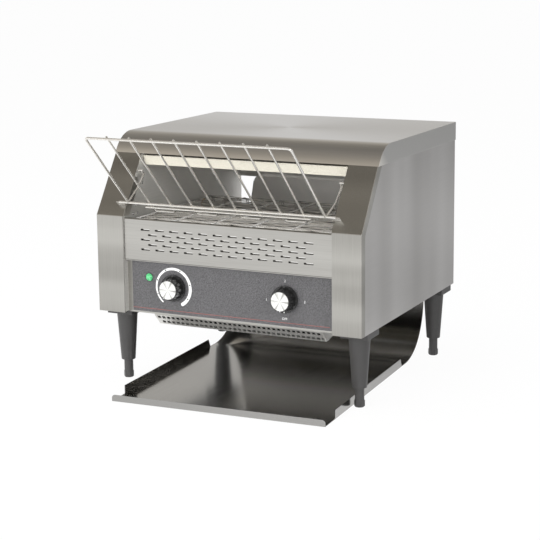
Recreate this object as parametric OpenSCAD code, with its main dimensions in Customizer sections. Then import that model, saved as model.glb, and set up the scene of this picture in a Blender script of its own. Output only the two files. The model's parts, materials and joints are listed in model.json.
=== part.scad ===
// Countertop conveyor toaster with a wire-mesh belt, a slanted loading rack and a slide-out tray.
// Millimetres and degrees. x runs across the machine, y from its front to its back, z up.
// Every module is drawn in the body frame: x = 0 on the centre line, y = 0 on the front face of
// the columns, z = 0 on the counter. placed() then moves it so that the origin of the model lies
// under the middle of the whole machine, on the counter.

/* [Body] */
// Width over the two side panels
body_w = 418; // [400:1:440]
// Depth from the front of the columns to the back panel
body_d = 376; // [370:1:390]
// Height of the underside above the counter
body_lift = 110; // [106:1:120]
// Height of the columns' front face
column_h = 143; // [141:1:146]
// Depth that the slanted cheeks run back
cheek_run = 57.5; // [54:0.5:60]
// Height that the slanted cheeks rise
cheek_rise = 84.5; // [82:0.5:87]
// Width of each column and its side compartment
column_w = 44; // [42:0.5:48]
// Depth of the column's return on the side of the body
return_w = 11.5; // [8:0.5:14]
// Gap between the column's return and the side panel
panel_seam = 0.4; // [0.3:0.1:0.8]
// Width of the cheek's flange on the inner wall, square to the cheek
cheek_flange_w = 15; // [12:0.5:16]
// Width of that flange at its top
cheek_flange_tip = 7; // [4:0.5:9]
// Height above the counter where the flange begins to taper
cheek_flange_knee = 284; // [275:1:290]
// Height of the flange's top above the counter
cheek_flange_top = 305; // [300:1:307]
// Thickness of the body's sheet metal
sheet_t = 1; // [0.8:0.1:1.2]
// Height that the walls and side panels reach up inside the hood's skirt
skirt_lap = 6; // [4:0.5:7]

/* [Hood] */
// Height of the hood's top above the lower edge of its skirt
hood_rise = 28; // [26:0.5:30]
// Radius of the bend along the hood's front
hood_r = 50; // [48:1:54]
// Steepness of the short flat face under the bend
hood_face_angle = 61; // [58:0.5:64]
// Distance from the end of the cheeks back to the hood's lower lip
hood_setback = 1; // [0.8:0.1:2]
// Height of the down-turned flange along the hood's back
hood_flange_h = 12; // [10:0.5:14]

/* [Toasting chamber] */
// Height of the lower edge of the rear panel above the counter
rear_panel_z = 261; // [259:0.5:262]
// Gap between the rear panel and the back of the body
rear_panel_inset = 2; // [2:0.5:3]
// Depth from the front face to the heater housing
heater_y = 62; // [60:0.5:64]
// Depth of the heater housing
heater_d = 268; // [262:1:274]
// Height of the heater housing's lower edge above the counter
heater_z = 321; // [319:0.5:323]
// Height of the heater housing
heater_h = 13.4; // [12.5:0.1:14]
// Sideways slant of the housing's front strip at each end
heater_slant = 3.5; // [2.5:0.5:5]
// Number of quartz heaters above the belt
upper_heater_count = 4; // [3:1:4]
// Number of quartz heaters below the belt's upper run
lower_heater_count = 3; // [2:1:3]
// Radius of a quartz heater
tube_r = 5; // [4:0.25:5.25]
// Length of heater tube that stands out of each inner wall
tube_overhang = 10; // [8:0.5:12]
// Outer radius of a heater's ceramic end cap
cap_r = 8; // [7:0.5:8.5]
// Radial gap between a heater and the hole it passes through
tube_gap = 1; // [0.6:0.1:1.2]
// Height of the chamber floor above the body's underside
floor_h = 95; // [94:0.5:97]
// Depth of the electrical compartment behind the front face
compartment_d = 262; // [261:1:264]

/* [Belt] */
// Distance between two neighbouring cross wires of the belt
belt_pitch = 10; // [9.8:0.1:10.2]
// Number of belt pitches between the front and the back shaft
belt_run_count = 22; // [21:1:22]
// Radius of the belt's wire
belt_wire_r = 0.9; // [0.8:0.05:1]
// Gap between the belt's sides and the inner walls
belt_side_gap = 8.5; // [7:0.5:11]
// Number of zig-zag link columns across the belt
link_column_count = 6; // [6:2:6]
// Width of one zig-zag link
link_w = 3; // [2.6:0.1:3.4]
// Number of notches in a belt sprocket
belt_teeth = 8; // [8:4:8]
// Depth of the front shaft's axis behind the front face
front_axis_y = 25; // [24.5:0.5:27]
// Height of both shafts above the body's underside
axis_h = 124; // [123:0.5:125]
// Radius of the belt shafts
shaft_r = 5; // [4.5:0.25:5.5]
// Thickness of a belt sprocket's disc
sprocket_t = 3; // [2:0.5:4]
// Radial gap of the sprocket notch round the belt's wire
notch_gap = 0.4; // [0.3:0.05:0.45]
// Outer radius of a shaft bearing
bush_r = 8; // [7.5:0.25:9]
// Radius of a shaft bearing's flange
bush_flange_r = 11; // [10.5:0.5:13]
// Length of a shaft bearing's barrel outside its flange
bush_l = 5; // [4:0.5:6]
// Radial running clearance of every shaft in its bearing
running_gap = 0.05; // [0.03:0.01:0.08]

/* [Drive] */
// Pitch of the roller chain
chain_pitch = 6.35; // [6.3:0.01:6.4]
// Number of chain pitches between the two chain wheels
chain_run_count = 13; // [13:1:13]
// Number of teeth on each chain wheel
chain_teeth = 16; // [16:4:16]
// Angle between the chain and a vertical line
chain_lean = 27; // [25:0.5:29]
// Radius of a chain roller
roller_r = 1.65; // [1.5:0.05:1.7]
// Width of a chain roller
roller_w = 3; // [2.8:0.1:3.4]
// Thickness of a chain link's plate
link_plate_t = 0.8; // [0.7:0.1:1]
// Height of a chain link's plate
link_plate_h = 5.4; // [5:0.1:5.6]
// Gap between the chain and the outside of the inner wall
chain_standoff = 16; // [15:0.5:18]
// Width across the gearbox of the motor
gearbox_w = 60; // [56:1:60]
// Length of the gearbox along its shaft
gearbox_l = 32; // [28:1:36]
// Radius of the motor's can
motor_r = 27; // [25:0.5:28]
// Length of the motor's can
motor_l = 48; // [42:1:54]
// Radius of the motor's output shaft
motor_shaft_r = 4; // [3.5:0.25:4.25]

/* [Front] */
// Depth of the perforated front panel behind the columns
grille_inset = 3; // [2.5:0.5:3.5]
// Height of the perforated front panel
grille_h = 60.3; // [59.5:0.1:61]
// Gap on each side of the perforated front panel
grille_side_gap = 1; // [0.7:0.1:1.2]
// Gap between the perforated front panel and the heat baffle behind it
baffle_gap = 3; // [2.6:0.1:3.8]
// Depth of the folded edges of the perforated front panel
grille_fold = 6; // [5:0.5:7]
// Length of a ventilation slot
slot_l = 15; // [13:0.5:16]
// Width of a ventilation slot
slot_w = 2.7; // [2.3:0.1:3]
// Sideways distance between two ventilation slots
slot_pitch = 23.5; // [22:0.1:24]
// Number of slots in the longer rows
slot_count = 12; // [10:1:12]
// Number of rows of slots
slot_rows = 5; // [4:1:5]
// Vertical distance between two rows of slots
slot_row_pitch = 7.2; // [6.8:0.1:7.4]
// Height of the lowest row of slots above the panel's lower edge
slot_base = 16.6; // [15:0.2:18]
// Depth of the control panel behind the columns
control_inset = 12; // [11.5:0.5:14]
// Margin of bare metal under and over the dark fascia
fascia_margin = 2.6; // [2:0.1:3.5]
// Mean gap between the dark fascia's ends and the columns
fascia_side_gap = 6; // [5:0.5:9]
// Sideways distance of the fascia's middle from the centre line
fascia_offset = 1.5; // [0:0.1:2.5]
// Thickness of the fascia film
fascia_t = 0.5; // [0.4:0.1:0.8]

/* [Knobs] */
// Distance from the centre line to each knob's axis
knob_x = 89; // [84:1:94]
// Height of the knobs' axes above the body's underside
knob_h = 41.5; // [39:0.5:43]
// Radius of the knob's skirt
skirt_r = 19.5; // [18:0.5:21]
// Thickness of the knob's skirt
skirt_t = 3.5; // [3:0.1:4.5]
// Radius of the knob's grip next to the skirt
grip_r = 16.8; // [16:0.1:17.5]
// Radius of the knob's grip at its front
grip_front_r = 14.8; // [14.4:0.1:15.4]
// Length of the knob, its cap not counted
knob_l = 17; // [15:0.5:19]
// Number of finger flutes round the grip
flute_count = 12; // [10:2:14]
// Radius of a finger flute
flute_r = 3.2; // [2.8:0.1:3.4]
// Depth of a finger flute in the grip
flute_depth = 1.2; // [0.8:0.1:1.4]
// Radius of the knob's metal cap
cap_face_r = 13.3; // [12.5:0.1:13.4]
// Thickness of the knob's metal cap
cap_face_t = 0.8; // [0.6:0.1:1.2]
// Gap between a knob and the fascia
knob_gap = 0.3; // [0.3:0.05:0.6]
// Radius of the two control spindles
spindle_r = 3; // [2.5:0.25:3.25]
// Depth of a control's body behind the panel
control_d = 30; // [26:1:34]
// Width of a control's body
control_w = 38; // [34:1:40]
// Turn of the speed knob
speed_turn = 300; // [270:10:320]
// Distance from the centre line to the pilot lamp
lamp_x = 129; // [127:0.5:132]
// Height of the pilot lamp above the body's underside
lamp_h = 54; // [50:0.5:56]
// Radius of the pilot lamp's lens
lamp_r = 5.6; // [5:0.1:6]
// Length of the pilot lamp's body behind the panel
lamp_l = 24; // [20:1:30]

/* [Vent guard] */
// Width of the closed triangle at the guard's right end
guard_end_w = 21; // [18:0.5:24]
// Sideways distance of the guard's middle from the centre line
guard_offset = 11; // [9:0.5:13]
// Distance that the guard slopes back
guard_run = 16; // [14:0.5:18]
// Distance that the guard slopes down
guard_drop = 17; // [15:0.5:18]
// Depth of the air duct behind the guard
guard_duct_d = 27; // [24:0.5:30]
// Number of holes in each row of the guard
guard_hole_count = 34; // [30:1:35]
// Length of a hole in the guard
guard_hole_w = 5.2; // [4.6:0.1:5.4]
// Height of a hole in the guard
guard_hole_h = 6.4; // [5.6:0.1:6.8]

/* [Legs] */
// Distance of the legs' axes inside the outer faces of the side panels
leg_side_inset = 21.2; // [21.1:0.1:23]
// Depth of the front legs' axes behind the front face
leg_front_y = 43.2; // [42:0.1:46]
// Distance of the back legs' axes from the back of the body
leg_back_inset = 33.2; // [30:0.1:36]
// Width of a leg's square flange
leg_flange_w = 42; // [40:0.5:42]
// Thickness of a leg's square flange
leg_flange_t = 9; // [7:0.5:10]
// Radius at the top of a leg's taper
leg_top_r = 15.5; // [14.5:0.1:16.5]
// Radius at the bottom of a leg's taper
leg_end_r = 10.5; // [10:0.1:11.5]
// Height of a leg's lower end above the counter
leg_end_z = 28; // [26:0.5:30]
// Radius of a foot's stem
stem_r = 6.7; // [6:0.1:7.2]
// Length of a foot's stem hidden in its leg
stem_l = 40; // [32:1:44]
// Height of a foot's pad
foot_h = 9.5; // [8:0.5:11]
// Radius of a foot's hexagonal pad over its corners
foot_r = 7.6; // [7:0.1:8]
// Height adjustment of a foot up and down
foot_travel = 15; // [10:1:16]
// Radius of a leg's bolt
bolt_r = 3; // [2.5:0.25:3.5]

/* [Loading rack] */
// Reach of the rack's top bar in front of the columns
rack_reach = 106.2; // [100:0.1:110]
// Height of the rack's top bar above the counter
rack_top_z = 379.5; // [376:0.5:384]
// Depth of the rack's lower bar behind the front face
rack_low_y = 2; // [0:0.5:4]
// Height of the rack's lower bar above the counter
rack_low_z = 273.5; // [272:0.5:276]
// Distance of the rack's frame from the inner walls
rack_side_gap = 10; // [9:0.5:13]
// Length of the lower bar beyond each inner wall
rest_lap = 11; // [10:0.5:16]
// Length of each flattened end
rest_l = 11; // [8:0.5:12]
// Gap between the flattened ends and the cheeks that they lean on
rest_gap = 0.3; // [0.3:0.05:0.5]
// Thickness of the flattened ends
rest_t = 1.2; // [1:0.1:1.8]
// Distance of the short bar's ends from the sides of the rack's frame
short_bar_inset = 24.6; // [22:0.2:28]
// Distance from the lower bar down the slope to the short bar
short_bar_drop = 9; // [7:0.5:11]
// Distance from the lower bar down the slope to the ends of the paired wires
slope_tail = 21; // [18:0.5:23]
// Length of the wire tips above the top bar
wire_tip = 1.8; // [1.6:0.1:3]
// Radius of the frame's wire
frame_wire_r = 1.8; // [1.6:0.1:2]
// Radius of the sloping wires
slope_wire_r = 1.45; // [1.3:0.05:1.5]
// Sideways distance between two sloping wires
slope_wire_pitch = 34.6; // [33:0.1:35]
// Number of sloping wires
slope_wire_count = 8; // [8:2:8]
// Radius of the rack's bends
rack_bend_r = 5; // [4:0.5:6]
// Depth of the hook's pivot behind the front face
hook_y = 46; // [44:0.5:48]
// Height of the hook's pivot above the counter
hook_z = 314; // [312:0.5:316]
// Overlap of two wires where they are welded
weld = 0.5; // [0.3:0.1:0.7]

/* [Tray] */
// Gap between the tray's sides and the inner walls' planes
tray_side_gap = 2; // [1.5:0.5:5]
// Length of the tray from its front lip to its back plate
tray_l = 436; // [425:1:445]
// Radius of the curve that turns the tray up at the back
tray_curve_r = 98; // [92:1:104]
// Height of the back plate's top
tray_top_z = 264; // [263:0.5:266]
// Half the width of the back plate at its top
tray_top_half_w = 133; // [128:1:138]
// Height of the front lip
lip_h = 9.5; // [8:0.5:11]
// Height of the side flanges
flange_h = 13; // [11:0.5:15]
// Distance of the flanges' front ends behind the lip
flange_start = 37; // [30:1:42]
// Distance of the flanges' back ends from the back plate
flange_end = 116; // [106:1:122]
// Radius of the tray's rounded corners
tray_corner_r = 8; // [6:0.5:9]
// Turn of the tray on the counter
tray_turn = 2.5; // [1.5:0.1:2.6]
// Thickness of the tray's sheet
tray_t = 0.8; // [0.7:0.1:1]
// Gap between the tray's back plate and the rear panel that it leans on
tray_rest_gap = 0.3; // [0.3:0.05:0.6]
// Travel of the tray when it is drawn out
tray_travel = 90; // [60:5:95]

/* [Electrics] */
// Width across the cooling fan
fan_w = 80; // [70:1:80]
// Thickness of the cooling fan
fan_t = 25; // [20:1:30]
// Number of fan blades
blade_count = 7; // [5:2:9]
// Distance of the fan behind the control panel
fan_gap = 52; // [48:1:60]
// Protrusion of the cable gland behind the body
gland_out = 12; // [11:0.1:13]
// Height of the cable gland above the counter
gland_z = 140; // [136:1:150]
// Radius of the cable gland's bore
gland_bore_r = 4; // [3.5:0.1:4.5]
// Radius of the cable gland's thread
gland_thread_r = 7.5; // [7:0.1:8]

/* [Hidden] */
$fn = 48;

steel = "silver";
dark_steel = "dimgray";
tiny = 0.01;
bead = 0.15;
flush_cut = 1;
arc_step = 2.5;

// Body sizes that follow from the driving ones
half_w = body_w / 2;
wall_x = half_w - column_w;
wall_out = wall_x + sheet_t;
column_top = body_lift + column_h;
cheek_top = column_top + cheek_rise;
hood_top = cheek_top + hood_rise;
base_top = body_lift + sheet_t;
cheek_len = norm([cheek_run, cheek_rise]);
panel_inner_x = half_w - sheet_t;
rear_face_y = body_d - sheet_t;
rear_panel_y = body_d - rear_panel_inset - sheet_t;
floor_z = body_lift + floor_h;

// Loading rack: widths, length and lean of its slope, and the sloping wires' offset from its bars
rack_half_w = wall_x - rack_side_gap;
rest_half_w = wall_x + rest_lap;
short_bar_half_w = rack_half_w - short_bar_inset;
rack_len = norm([rack_low_y + rack_reach, rack_top_z - rack_low_z]);
rack_angle = atan2(rack_low_y + rack_reach, rack_top_z - rack_low_z);
wire_offset = frame_wire_r + slope_wire_r - weld;
hook_out = 3;
hook_bend_y = 15;
hook_bend_z = 25;
hook_neck_y = 5;
hook_neck_z = 6;
tip_reach = wire_tip * sin(rack_angle) + (slope_wire_r - wire_offset) * cos(rack_angle);

// The machine's overall depth, and with it the place of the body frame's y = 0
front_reach = rack_reach + max(frame_wire_r, tip_reach);
front_y = (front_reach - body_d - gland_out) / 2;

// Belt and its shafts
shaft_spare = 3;
bush_flange_t = 2.5;
axis_z = body_lift + axis_h;
belt_r = belt_pitch / 2 / sin(180 / belt_teeth);
belt_w = 2 * (wall_x - belt_side_gap);
link_spacing = (belt_w - link_w) / (link_column_count - 1);
back_axis_y = front_axis_y + belt_run_count * belt_pitch;
link_columns = [
    for (i = [0:link_column_count - 1]) (i - (link_column_count - 1) / 2) * link_spacing
];
sprocket_places = [-2 * link_spacing, 0, 2 * link_spacing];
shaft_end = wall_out + bush_l + shaft_spare;
hub_wall = 3;
belt_hub_l = 12;
link_recess = 0.18;
belt_tooth_h = 1;

// Heaters: their spacing, and the heights of the two rows
upper_tube_z = heater_z + heater_h / 2;
upper_heater_step = heater_d / (upper_heater_count + 1);
upper_heater_places = [for (i = [1:upper_heater_count]) heater_y + i * upper_heater_step];
lower_heater_step = belt_run_count * belt_pitch / (lower_heater_count + 1);
lower_heater_places = [for (i = [1:lower_heater_count]) front_axis_y + i * lower_heater_step];

// Chain drive
chain_r = chain_pitch / 2 / sin(180 / chain_teeth);
chain_x = wall_out + chain_standoff;
motor_y = back_axis_y - chain_run_count * chain_pitch * sin(chain_lean);
motor_z = axis_z - chain_run_count * chain_pitch * cos(chain_lean);
chain_shaft_end = chain_x + roller_w + 2;
chain_tooth_h = 1.4;
chain_relief_r = 3;
chain_relief_out = 2.2;
chain_side_gap = 0.3;
chain_hub_l = 6;
roller_gap = 0.3;
pin_r = roller_r * 0.6;
pin_head = 0.3;
plate_step = 0.4;
motor_rise = 3;
motor_cap_r = motor_r - 8;
motor_cap_l = 6;

// Front
grille_top = column_top - grille_inset;
grille_z = grille_top - grille_h;
control_top = grille_z;
fascia_y = control_inset - fascia_t;
fascia_w = 2 * (wall_x - fascia_side_gap);
knob_z = body_lift + knob_h;
knob_back = fascia_y - knob_gap;
lamp_z = body_lift + lamp_h;
lamp_barrel_r = lamp_r - 0.9;
spindle_seat = 12;
control_step = 6;
control_cap_l = 5;
switch_extra_d = 10;

// Vent guard, and the air slots in the bottom sheet over its duct
guard_w = 2 * (wall_x - guard_offset - guard_end_w);
pan_slot_pitch = 22;
pan_slot_w = 5;
pan_slot_margin = 2;
pan_slot_y = control_inset + sheet_t + pan_slot_margin;
pan_slot_l = guard_duct_d - 2 * (sheet_t + pan_slot_margin);

// Cooling fan
fan_y = control_inset + sheet_t + fan_gap;
fan_z = base_top + fan_w / 2;
fan_bore_r = fan_w / 2 - 2;
fan_hub_r = 16;
fan_pin_r = 2;
fan_clearance = 1.2;
fan_hole_r = 2.2;
fan_hole_inset = 5;
fan_plate_t = 3;
fan_arm_w = 4;
fan_arm_lap = 2;
rotor_front = 1.5;
rotor_l = fan_t - 5;
vane_h = fan_t - 8;
vane_t = 1.4;
vane_twist = 52;
vane_lap = 1;

// Screws in the back of the body
side_mid_x = wall_out + (panel_inner_x - wall_out) / 2;
screw_r = 1.75;
screw_head_r = 3.6;
screw_top_r = 2.5;
screw_head_h = 2.2;
screw_l = 8;
low_screw_h = 55;
middle_screw_drop = 20;
high_screw_drop = 25;
cover_screw_heights = [
    body_lift + low_screw_h, rear_panel_z - middle_screw_drop, cheek_top - high_screw_drop
];
hood_screw_inset = 45;
hood_screw_places = (wall_x - hood_screw_inset) * [-1, 0, 1];
hood_screw_z = hood_top - hood_flange_h / 2;

// Cable gland
gland_hex_r = gland_thread_r + 3.5;
gland_cone_r = gland_thread_r + 1.5;
gland_tip_r = gland_bore_r + 2.5;
gland_collar_t = 4;
gland_nut_t = 5;
gland_back = sheet_t + gland_nut_t;

// Control board: its size, posts and components
board_w = 80;
board_d = 60;
board_t = 1.6;
board_side_gap = 10;
board_y = 205;
post_h = 8;
post_r = 3;
post_inset = 5;
relay_w = 14;
relay_d = 26;
relay_h = 22;
relay_inset = 8;
filter_w = 20;
filter_d = 24;
filter_h = 15;
filter_x = 6;
can_y = 14;
big_can_x = -8;
big_can_r = 6;
big_can_h = 18;
small_can_x = 30;
small_can_r = 5;
small_can_h = 14;

// Terminal block and thermal cut-out
terminal_ways = 5;
terminal_pitch = 9;
terminal_d = 16;
terminal_h = 14;
terminal_gap = 75;
terminal_hole_r = 2.6;
terminal_hole_h = 6;
terminal_rib = 1;
terminal_rib_h = 4;
cutout_share = 0.45;
cutout_r = 8;
cutout_l = 7.5;
cutout_clip_t = 1.5;
cutout_clip_l = 32;
cutout_clip_h = 10;
lug_l = 7;
lug_gap = 8;
lug_t = 0.8;
lug_h = 6;

// Legs, as front or back and left or right
leg_x = half_w - leg_side_inset;
back_leg_y = body_d - leg_back_inset;
flange_z = body_lift - leg_flange_t;
stem_spare = 0.5;
bolt_l = 17;
bolt_reach = bolt_l + 1;
bolt_head_r = bolt_r * 1.7;
bolt_head_h = 4;

// Tray: the rounded corner of its turned back plate comes closest to the rear panel, at the
// height of the panel's lower edge
tray_w = 2 * (wall_x - tray_side_gap);
tray_waist = 3;
tray_lap = tray_top_z - rear_panel_z;
corner_lap_x = sqrt(pow(tray_corner_r, 2) - pow(tray_corner_r - tray_lap, 2));
tray_corner_out = (tray_top_half_w - tray_corner_r + corner_lap_x) * sin(tray_turn);
tray_rear_y = rear_panel_y - tray_rest_gap - tray_corner_out;

// Shift from the body frame to the model's own frame
module placed() {
    translate([0, front_y, 0]) children();
}

// Cylinder along x from x0 to x1
module x_rod(r, x0, x1, y, z) {
    translate([x0, y, z]) rotate([0, 90, 0]) cylinder(r = r, h = x1 - x0);
}

// Cylinder along y from y0 to y1
module y_rod(r, y0, y1, x, z) {
    translate([x, y0, z]) rotate([-90, 0, 0]) cylinder(r = r, h = y1 - y0);
}

// Box between two opposite corners
module block(low, high) {
    translate(low) cube(high - low);
}

// Extrusion along x of a flat shape drawn in y and z
module along_x(x0, x1) {
    translate([x0, 0, 0]) rotate([90, 0, 90]) linear_extrude(x1 - x0) children();
}

// Extrusion along y of a flat shape drawn in x and z
module along_y(y0, y1) {
    translate([0, y1, 0]) rotate([90, 0, 0]) linear_extrude(y1 - y0) children();
}

// The same shape on the left, with s = -1, or on the right, with s = 1
module on_side(s) {
    mirror([s < 0 ? 1 : 0, 0, 0]) children();
}

// Depth of the slanted edge at height z, moved inwards by inset at right angles to the edge
function slant_y(z, inset) = (z - column_top) * cheek_run / cheek_rise + inset * cheek_len / cheek_rise;

// Height at which the upright and the slanted edge meet, both moved inwards by inset
function knee_z(inset) = column_top + inset * (1 - cheek_len / cheek_rise) * cheek_rise / cheek_run;

// Band between two insets of the body's front edge, from height z0 to z1
module front_band(outer, inner, z0, z1) {
    polygon([
        [outer, z0], [outer, knee_z(outer)], [slant_y(z1, outer), z1],
        [slant_y(z1, inner), z1], [inner, knee_z(inner)], [inner, z0]
    ]);
}

// Side view of the body, moved inwards by inset along its front edge
module side_view(inset, z0, z1, back) {
    polygon([
        [inset, z0], [inset, knee_z(inset)], [slant_y(z1, inset), z1], [back, z1], [back, z0]
    ]);
}

// Points along an arc of radius r round centre, from angle from_a to to_a
function arc(centre, r, from_a, to_a) =
    let (steps = ceil(abs(to_a - from_a) / arc_step))
    [for (i = [0:steps]) let (a = from_a + i * (to_a - from_a) / steps) centre + r * [cos(a), sin(a)]];

// Side view of the hood, moved inwards by inset: steep short face, round bend, flat top
module hood_view(inset, back, low = cheek_top) {
    centre_z = hood_top - hood_r;
    foot_y = cheek_run + hood_setback;
    touch_z = centre_z + hood_r * cos(hood_face_angle);
    touch_y = foot_y + (touch_z - cheek_top) / tan(hood_face_angle);
    centre = [touch_y + hood_r * sin(hood_face_angle), centre_z];
    lip_y = foot_y + inset / sin(hood_face_angle) + (low - cheek_top) / tan(hood_face_angle);
    polygon(concat(
        [[back, low], [lip_y, low]],
        arc(centre, hood_r - inset, 90 + hood_face_angle, 90),
        [[back, hood_top - inset]]
    ));
}

// Inner wall with its bearing seats, heater holes and rack pivot hole
module inner_wall() {
    difference() {
        along_x(wall_x, wall_out) {
            side_view(sheet_t, base_top, cheek_top + tiny, rear_face_y);
            hood_view(sheet_t, rear_face_y);
        }
        for (y = [front_axis_y, back_axis_y]) wall_hole(bush_r + running_gap, y, axis_z);
        for (y = upper_heater_places) wall_hole(tube_r + tube_gap, y, upper_tube_z);
        for (y = lower_heater_places) wall_hole(tube_r + tube_gap, y, axis_z);
        wall_hole(slope_wire_r + running_gap, hook_y, hook_z);
        wall_hole(motor_shaft_r + tube_gap, motor_y, motor_z);
    }
}

module wall_hole(r, y, z) {
    x_rod(r, wall_x - flush_cut, wall_out + flush_cut, y, z);
}

module left_inner_wall() {
    color("gainsboro") placed() on_side(-1) inner_wall();
}

module right_inner_wall() {
    color("gainsboro") placed() inner_wall();
}

// Side panel: outer sheet, and the return that closes the side compartment at the back
module side_panel() {
    inset = return_w + panel_seam;
    along_x(panel_inner_x, half_w)
        side_view(inset, body_lift, cheek_top + skirt_lap, body_d);
    difference() {
        block([wall_x, rear_face_y, body_lift], [panel_inner_x + tiny, body_d, hood_top - hood_flange_h]);
        for (z = cover_screw_heights)
            y_rod(screw_r, rear_face_y - flush_cut, body_d + flush_cut, side_mid_x, z);
        children();
    }
}

module left_side_panel() {
    color(steel) placed() on_side(-1) side_panel()
        y_rod(gland_thread_r + running_gap, rear_face_y - flush_cut, body_d + flush_cut,
              side_mid_x, gland_z);
}

module right_side_panel() {
    color(steel) placed() side_panel();
}

// Column: front face and cheek in one bent sheet, with the narrow return on the side and the
// cheek's flange on the inner wall
module front_column() {
    along_x(wall_x, half_w) front_band(0, sheet_t, body_lift, cheek_top);
    along_x(panel_inner_x, half_w) front_band(sheet_t - tiny, return_w, body_lift, cheek_top);
    along_x(wall_x - sheet_t, wall_x + tiny) cheek_strip(sheet_t, column_top, cheek_flange_top);
    along_x(wall_x - sheet_t, wall_x) cheek_flange();
}

// Side view of a strip along the cheek, from height z0 to z1
module cheek_strip(depth, z0, z1) {
    polygon([
        [slant_y(z0, 0), z0], [slant_y(z1, 0), z1], [slant_y(z1, depth), z1], [slant_y(z0, depth), z0]
    ]);
}

// Side view of the cheek's flange: full width below its knee, tapered above it
module cheek_flange() {
    polygon([
        [slant_y(column_top, 0), column_top], [slant_y(cheek_flange_top, 0), cheek_flange_top],
        [slant_y(cheek_flange_top, cheek_flange_tip), cheek_flange_top],
        [slant_y(cheek_flange_knee, cheek_flange_w), cheek_flange_knee],
        [slant_y(column_top, cheek_flange_w), column_top]
    ]);
}

module left_front_column() {
    color(steel) placed() on_side(-1) front_column();
}

module right_front_column() {
    color(steel) placed() front_column();
}

// Hood: bent top sheet with two side skirts and a flange along its back
module hood() {
    color(steel) placed() difference() {
        along_x(-half_w - sheet_t, half_w + sheet_t) hood_view(0, body_d);
        along_x(-half_w, half_w) hood_view(sheet_t, rear_face_y, cheek_top - flush_cut);
        block([-half_w, rear_face_y - flush_cut, cheek_top - flush_cut],
              [half_w, body_d + flush_cut, hood_top - hood_flange_h]);
        for (x = hood_screw_places)
            y_rod(screw_r, rear_face_y - flush_cut, body_d + flush_cut, x, hood_screw_z);
    }
}

// Rear panel that closes the chamber above the chute
module rear_panel() {
    color(steel) placed() difference() {
        block([-wall_x, rear_panel_y, rear_panel_z], [wall_x, rear_face_y, hood_top - sheet_t]);
        block([-wall_x - flush_cut, rear_panel_y + sheet_t, rear_panel_z - flush_cut],
              [wall_x + flush_cut, rear_face_y + flush_cut, hood_top - hood_flange_h]);
        for (x = hood_screw_places) y_rod(screw_r, rear_panel_y - flush_cut, body_d, x, hood_screw_z);
    }
}

// Housing over the upper heaters: shallow box, open below
module heater_housing() {
    top = heater_z + heater_h;
    color("ivory") placed() {
        along_y(heater_y, heater_y + sheet_t) polygon([
            [-wall_x, top], [wall_x, top],
            [wall_x - heater_slant, heater_z], [-wall_x + heater_slant, heater_z]
        ]);
        block([-wall_x, heater_y, top - sheet_t], [wall_x, heater_y + heater_d, top]);
        block([-wall_x, heater_y + heater_d - sheet_t, heater_z], [wall_x, heater_y + heater_d, top]);
    }
}

module heater_row(places, z) {
    reach = wall_out + tube_overhang;
    for (y = places) x_rod(tube_r, -reach, reach, y, z);
}

module upper_heater_tubes() {
    color("linen") placed() heater_row(upper_heater_places, upper_tube_z);
}

module lower_heater_tubes() {
    color("linen") placed() heater_row(lower_heater_places, axis_z);
}

// Ceramic caps on the heater ends, seated on the outside of the inner walls
module heater_end_caps() {
    cap_l = tube_overhang + 3;
    color("white") placed() for (s = [-1, 1]) on_side(s) {
        for (y = upper_heater_places) heater_cap(y, upper_tube_z, cap_l);
        for (y = lower_heater_places) heater_cap(y, axis_z, cap_l);
    }
}

module heater_cap(y, z, cap_l) {
    difference() {
        x_rod(cap_r, wall_out, wall_out + cap_l, y, z);
        x_rod(tube_r + running_gap, wall_out - flush_cut, wall_out + tube_overhang + running_gap, y, z);
    }
}

// Floor of the toasting chamber, folded down behind the electrical compartment
module chamber_floor() {
    color("gainsboro") placed() {
        block([-wall_x, grille_inset + sheet_t, floor_z - sheet_t], [wall_x, compartment_d, floor_z]);
        block([-wall_x, compartment_d - sheet_t, base_top], [wall_x, compartment_d, floor_z]);
    }
}

// One ventilation slot with round ends, drawn in x and z
module slot(x, z) {
    half = (slot_l - slot_w) / 2;
    translate([x, z]) {
        translate([-half, -slot_w / 2]) square([2 * half, slot_w]);
        for (e = [-half, half]) translate([e, 0]) circle(r = slot_w / 2, $fn = 16);
    }
}

// Perforated panel under the loading slot, folded back along its top and bottom
module front_grille() {
    half = wall_x - grille_side_gap;
    color(steel) placed() {
        along_y(grille_inset, grille_inset + sheet_t) difference() {
            translate([-half, grille_z]) square([2 * half, grille_h]);
            for (row = [0:slot_rows - 1], i = [0:slot_count - 1 - row % 2]) {
                start = -(slot_count - 1 - row % 2) * slot_pitch / 2;
                slot(start + i * slot_pitch, grille_z + slot_base + row * slot_row_pitch);
            }
        }
        for (z = [grille_z, grille_top - sheet_t])
            block([-half, grille_inset + sheet_t - tiny, z],
                  [half, grille_inset + sheet_t + grille_fold, z + sheet_t]);
    }
}

// Bright sheet behind the slots, from the chamber floor up to the perforated panel's upper fold
module grille_baffle() {
    half = wall_x - grille_side_gap;
    y = grille_inset + sheet_t + baffle_gap;
    color(steel) placed()
        block([-half, y, floor_z], [half, y + sheet_t, grille_top - sheet_t]);
}

// Recessed panel that carries the controls, folded forward to the grille along its top
module control_panel() {
    color(steel) placed() difference() {
        union() {
            block([-wall_x, control_inset, body_lift], [wall_x, control_inset + sheet_t, control_top]);
            block([-wall_x, grille_inset, control_top - sheet_t],
                  [wall_x, control_inset + sheet_t, control_top]);
        }
        panel_holes(control_inset);
    }
}

// Holes for both spindles and for the lamp, through one sheet
module panel_holes(y) {
    for (s = [-1, 1])
        y_rod(spindle_r + tube_gap, y - flush_cut, y + sheet_t + flush_cut, s * knob_x, knob_z);
    y_rod(lamp_barrel_r + running_gap, y - flush_cut, y + sheet_t + flush_cut, -lamp_x, lamp_z);
}

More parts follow.
